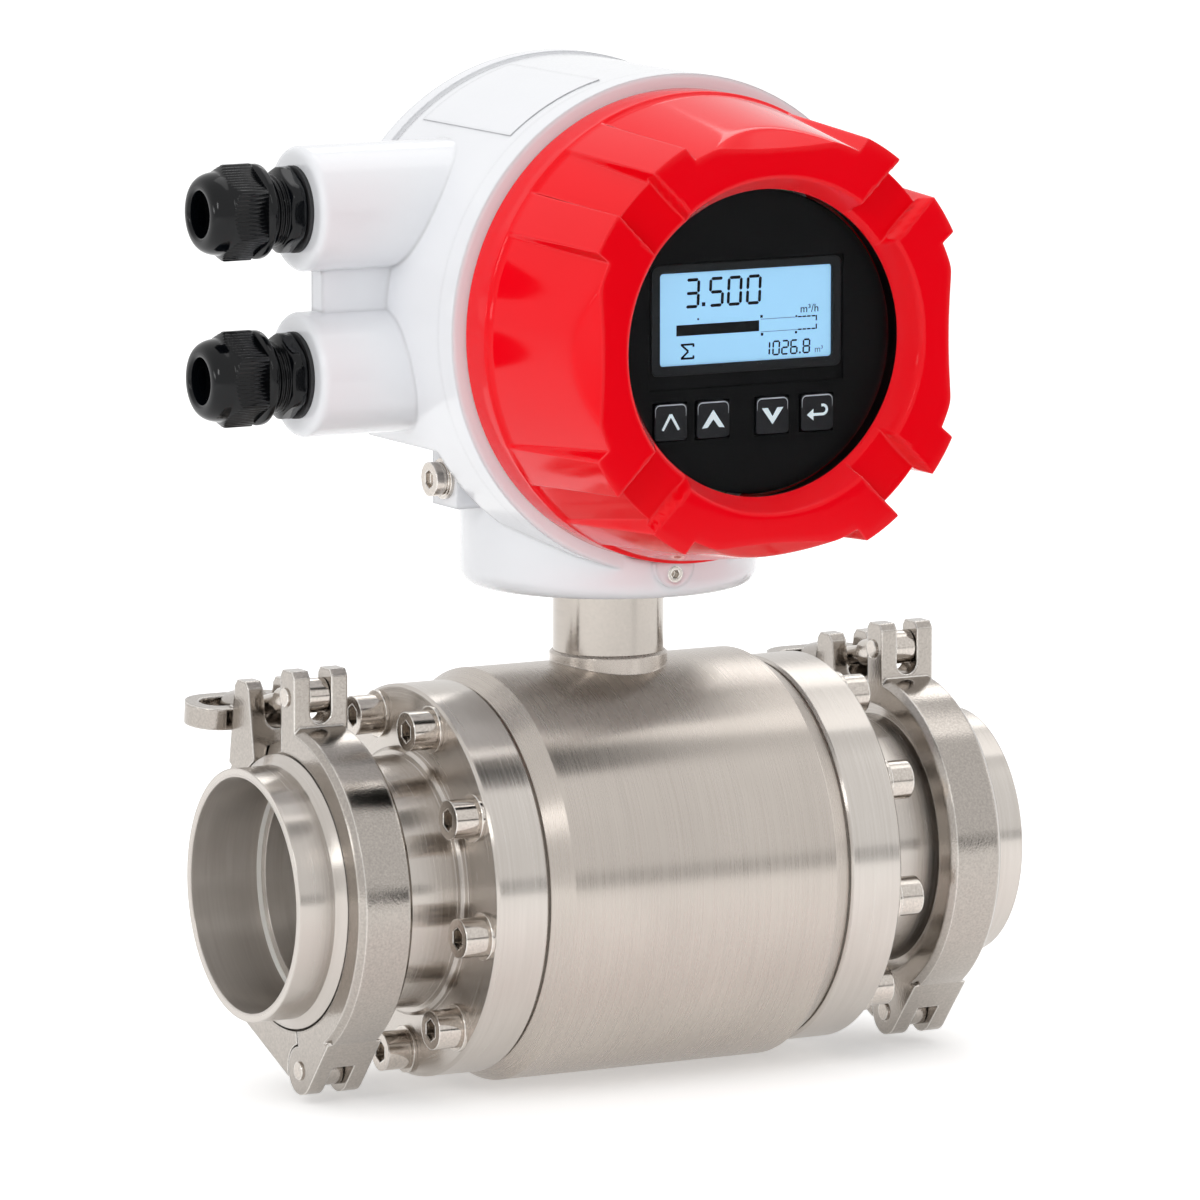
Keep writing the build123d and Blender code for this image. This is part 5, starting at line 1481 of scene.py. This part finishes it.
@dataclass
class Studio:
    """Camera, floor, world, lamps and a dark card.

    sky_stops is the sky's light by height: 0 is straight down, 0.5 the horizon and 1 straight up.
    """

    azimuth: float = 28.349
    elevation: float = 8.4254
    distance: float = 3.039147
    shift_right: float = -0.00248
    shift_up: float = 0.079464
    focal: float = 300.0
    sensor: float = 36.0
    far_end: float = 50.0
    floor: float = -0.0632
    floor_reach: float = 6.0
    floor_shade: float = 0.93
    floor_glow: float = 0.36
    sky_stops: tuple[Pair, ...] = (
        (0.0, 0.50), (0.50, 0.40), (0.55, 0.40), (0.62, 0.60),
        (0.82, 0.62), (0.88, 0.84), (0.925, 1.2), (1.0, 0.85),
    )
    card_place: tuple[float, float, float] = (0.60, -1.205, 0.005)
    card_aim: tuple[float, float, float] = (0.0, -0.095, 0.1689)
    card_size: Pair = (0.26, 0.24)
    card_shade: float = 0.004

    def camera(self) -> None:
        """Stand the camera where the photograph was taken from."""
        turn, lift = math.radians(self.azimuth), math.radians(self.elevation)
        level = math.cos(lift)
        back = Vector((-math.sin(turn) * level, -math.cos(turn) * level, math.sin(lift)))
        right = Vector((math.cos(turn), -math.sin(turn), 0.0))
        up = back.cross(right)
        data = bpy.data.cameras.new("camera")
        data.lens = self.focal
        data.sensor_width = self.sensor
        data.clip_end = self.far_end
        eye = linked("camera", data)
        place = back * self.distance + right * self.shift_right + up * self.shift_up
        facing = Matrix((right, up, back)).transposed()
        eye.matrix_world = Matrix.Translation(place) @ facing.to_4x4()
        bpy.context.scene.camera = eye

    def ground(self) -> None:
        """Lay a floor that shows as white and still takes the object's shadow."""
        signs = ((-1, -1), (1, -1), (1, 1), (-1, 1))
        corners = [(x * self.floor_reach, y * self.floor_reach, self.floor) for x, y in signs]
        tree = matt_sheet("floor", corners, self.floor_shade).data.materials[0].node_tree
        dark = add_node(tree, "BsdfTransparent", {"Color": BLACK}).outputs[0]
        glow = add_node(tree, "Emission", {"Strength": self.floor_glow}).outputs[0]
        pick = add_node(tree, "MixShader", {0: background_rays(tree), 1: dark, 2: glow}).outputs[0]
        matt = tree.nodes["Principled BSDF"].outputs[0]
        both = add_node(tree, "AddShader", {0: matt, 1: pick}).outputs[0]
        feed(tree, tree.nodes["Material Output"], {"Surface": both})

    def world(self) -> None:
        """Light the room from a graded sky, and show plain white as the background."""
        world = bpy.data.worlds.new("studio")
        world.use_nodes = True
        tree = world.node_tree
        tree.nodes.clear()
        way = add_node(tree, "TexCoord").outputs["Generated"]
        upward = add_node(tree, "SeparateXYZ", {0: way}).outputs[2]
        height = math_node(tree, "MULTIPLY_ADD", upward, 0.5, 0.5)
        ramp = add_node(tree, "ValToRGB", {0: height})
        stops = ramp.color_ramp.elements
        ready = len(stops)
        for index, (place, value) in enumerate(self.sky_stops):
            stop = stops[index] if index < ready else stops.new(place)
            stop.position = place
            stop.color = (value, value, value, 1.0)
        sky = add_node(tree, "Background", {"Color": ramp.outputs[0]}).outputs[0]
        white = add_node(tree, "Background", {"Color": WHITE}).outputs[0]
        pick = add_node(tree, "MixShader", {0: background_rays(tree), 1: sky, 2: white}).outputs[0]
        add_node(tree, "OutputWorld", {"Surface": pick})
        bpy.context.scene.world = world

    def card(self) -> None:
        """Face the display with a dark card, kept from the camera, soft light and shadows."""
        middle = Vector(self.card_place)
        towards = (Vector(self.card_aim) - middle).normalized()
        aside = towards.cross(Vector((0.0, 0.0, 1.0))).normalized() * self.card_size[0] / 2
        upwards = aside.cross(towards).normalized() * self.card_size[1] / 2
        signs = ((-1, -1), (1, -1), (1, 1), (-1, 1))
        corners = [middle + aside * across + upwards * up for across, up in signs]
        card = matt_sheet("dark_card", corners, self.card_shade)
        card.visible_camera = False
        card.visible_diffuse = False
        card.visible_shadow = False

    def build(self) -> None:
        """Set up the whole stage."""
        self.camera()
        self.ground()
        self.world()
        self.card()
        for lamp in LAMPS:
            lamp.hang()
        bpy.context.scene.view_settings.view_transform = "Standard"


# Dressing


class Meter:
    """The whole meter: carried-over nodes with their finishes, and the worked-out pieces."""

    def __init__(self, frame: dict[str, Any]) -> None:
        """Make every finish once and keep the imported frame.
        """
        self.frame = frame
        shop = Workshop()
        self.finishes = {finish.name: finish.make(shop) for finish in FINISHES}
        self.slots = {part["node"]: part["material_slot"] for part in frame["record"]["subparts"]}

    def dress_nodes(self) -> None:
        """Give each carried-over node the finish of its slot, and the neck its own."""
        for name, node in self.frame["nodes"].items():
            finish = Look.NECK.value if name == "neck_tube" else self.slots[name]
            node.data.materials.clear()
            node.data.materials.append(self.finishes[finish])
        LOG.info("dressed %d nodes", len(self.frame["nodes"]))

    def add(self, piece: Piece, look: Look, body: str, *nodes: str) -> None:
        """Finish a piece, let it ride on its body and hide the nodes that it replaces.

        Args:
            piece: The new object.
            look: Its finish.
            body: The body that it rides on.
            nodes: The nodes that it stands for.
        """
        piece.data.materials.clear()
        piece.data.materials.append(self.finishes[look.value])
        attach(piece, body)
        if nodes:
            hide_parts(*nodes)
        LOG.info("%s: %d faces, rides on %s", piece.name, len(piece.data.polygons), body)

    def build(self) -> None:
        """Build every piece in order. Reflections leave the cover out."""
        self.dress_nodes()
        cover = CoverShell().build()
        cover.visible_glossy = False
        self.add(cover, Look.RED, "cover", "front_cover")
        for label, axis in GLAND_AXES.items():
            cap, body = GlandCap(label, axis).build(), GlandBody(label, axis).build()
            self.add(cap, Look.NYLON, f"{label}_cap_nut", f"{label}_gland_cap")
            self.add(body, Look.NYLON, "meter", f"{label}_gland_body")
        printer = DisplayPrint()
        for piece, look in printer.build():
            self.add(piece, look, "meter")
        keys = KeySymbols(printer)
        # Key symbols with a painted glow.
        for piece, body in keys.symbols():
            self.add(piece, Look.SYMBOL, body)
        # Painted highlights along the keys' top edges.
        for piece, body in keys.glints():
            self.add(piece, Look.GLINT, body)


def main() -> None:
    """Build the scene."""
    logging.basicConfig(level=logging.INFO, format="%(message)s")
    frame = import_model()
    Studio().build()
    Meter(frame).build()


if __name__ == "__main__":
    main()
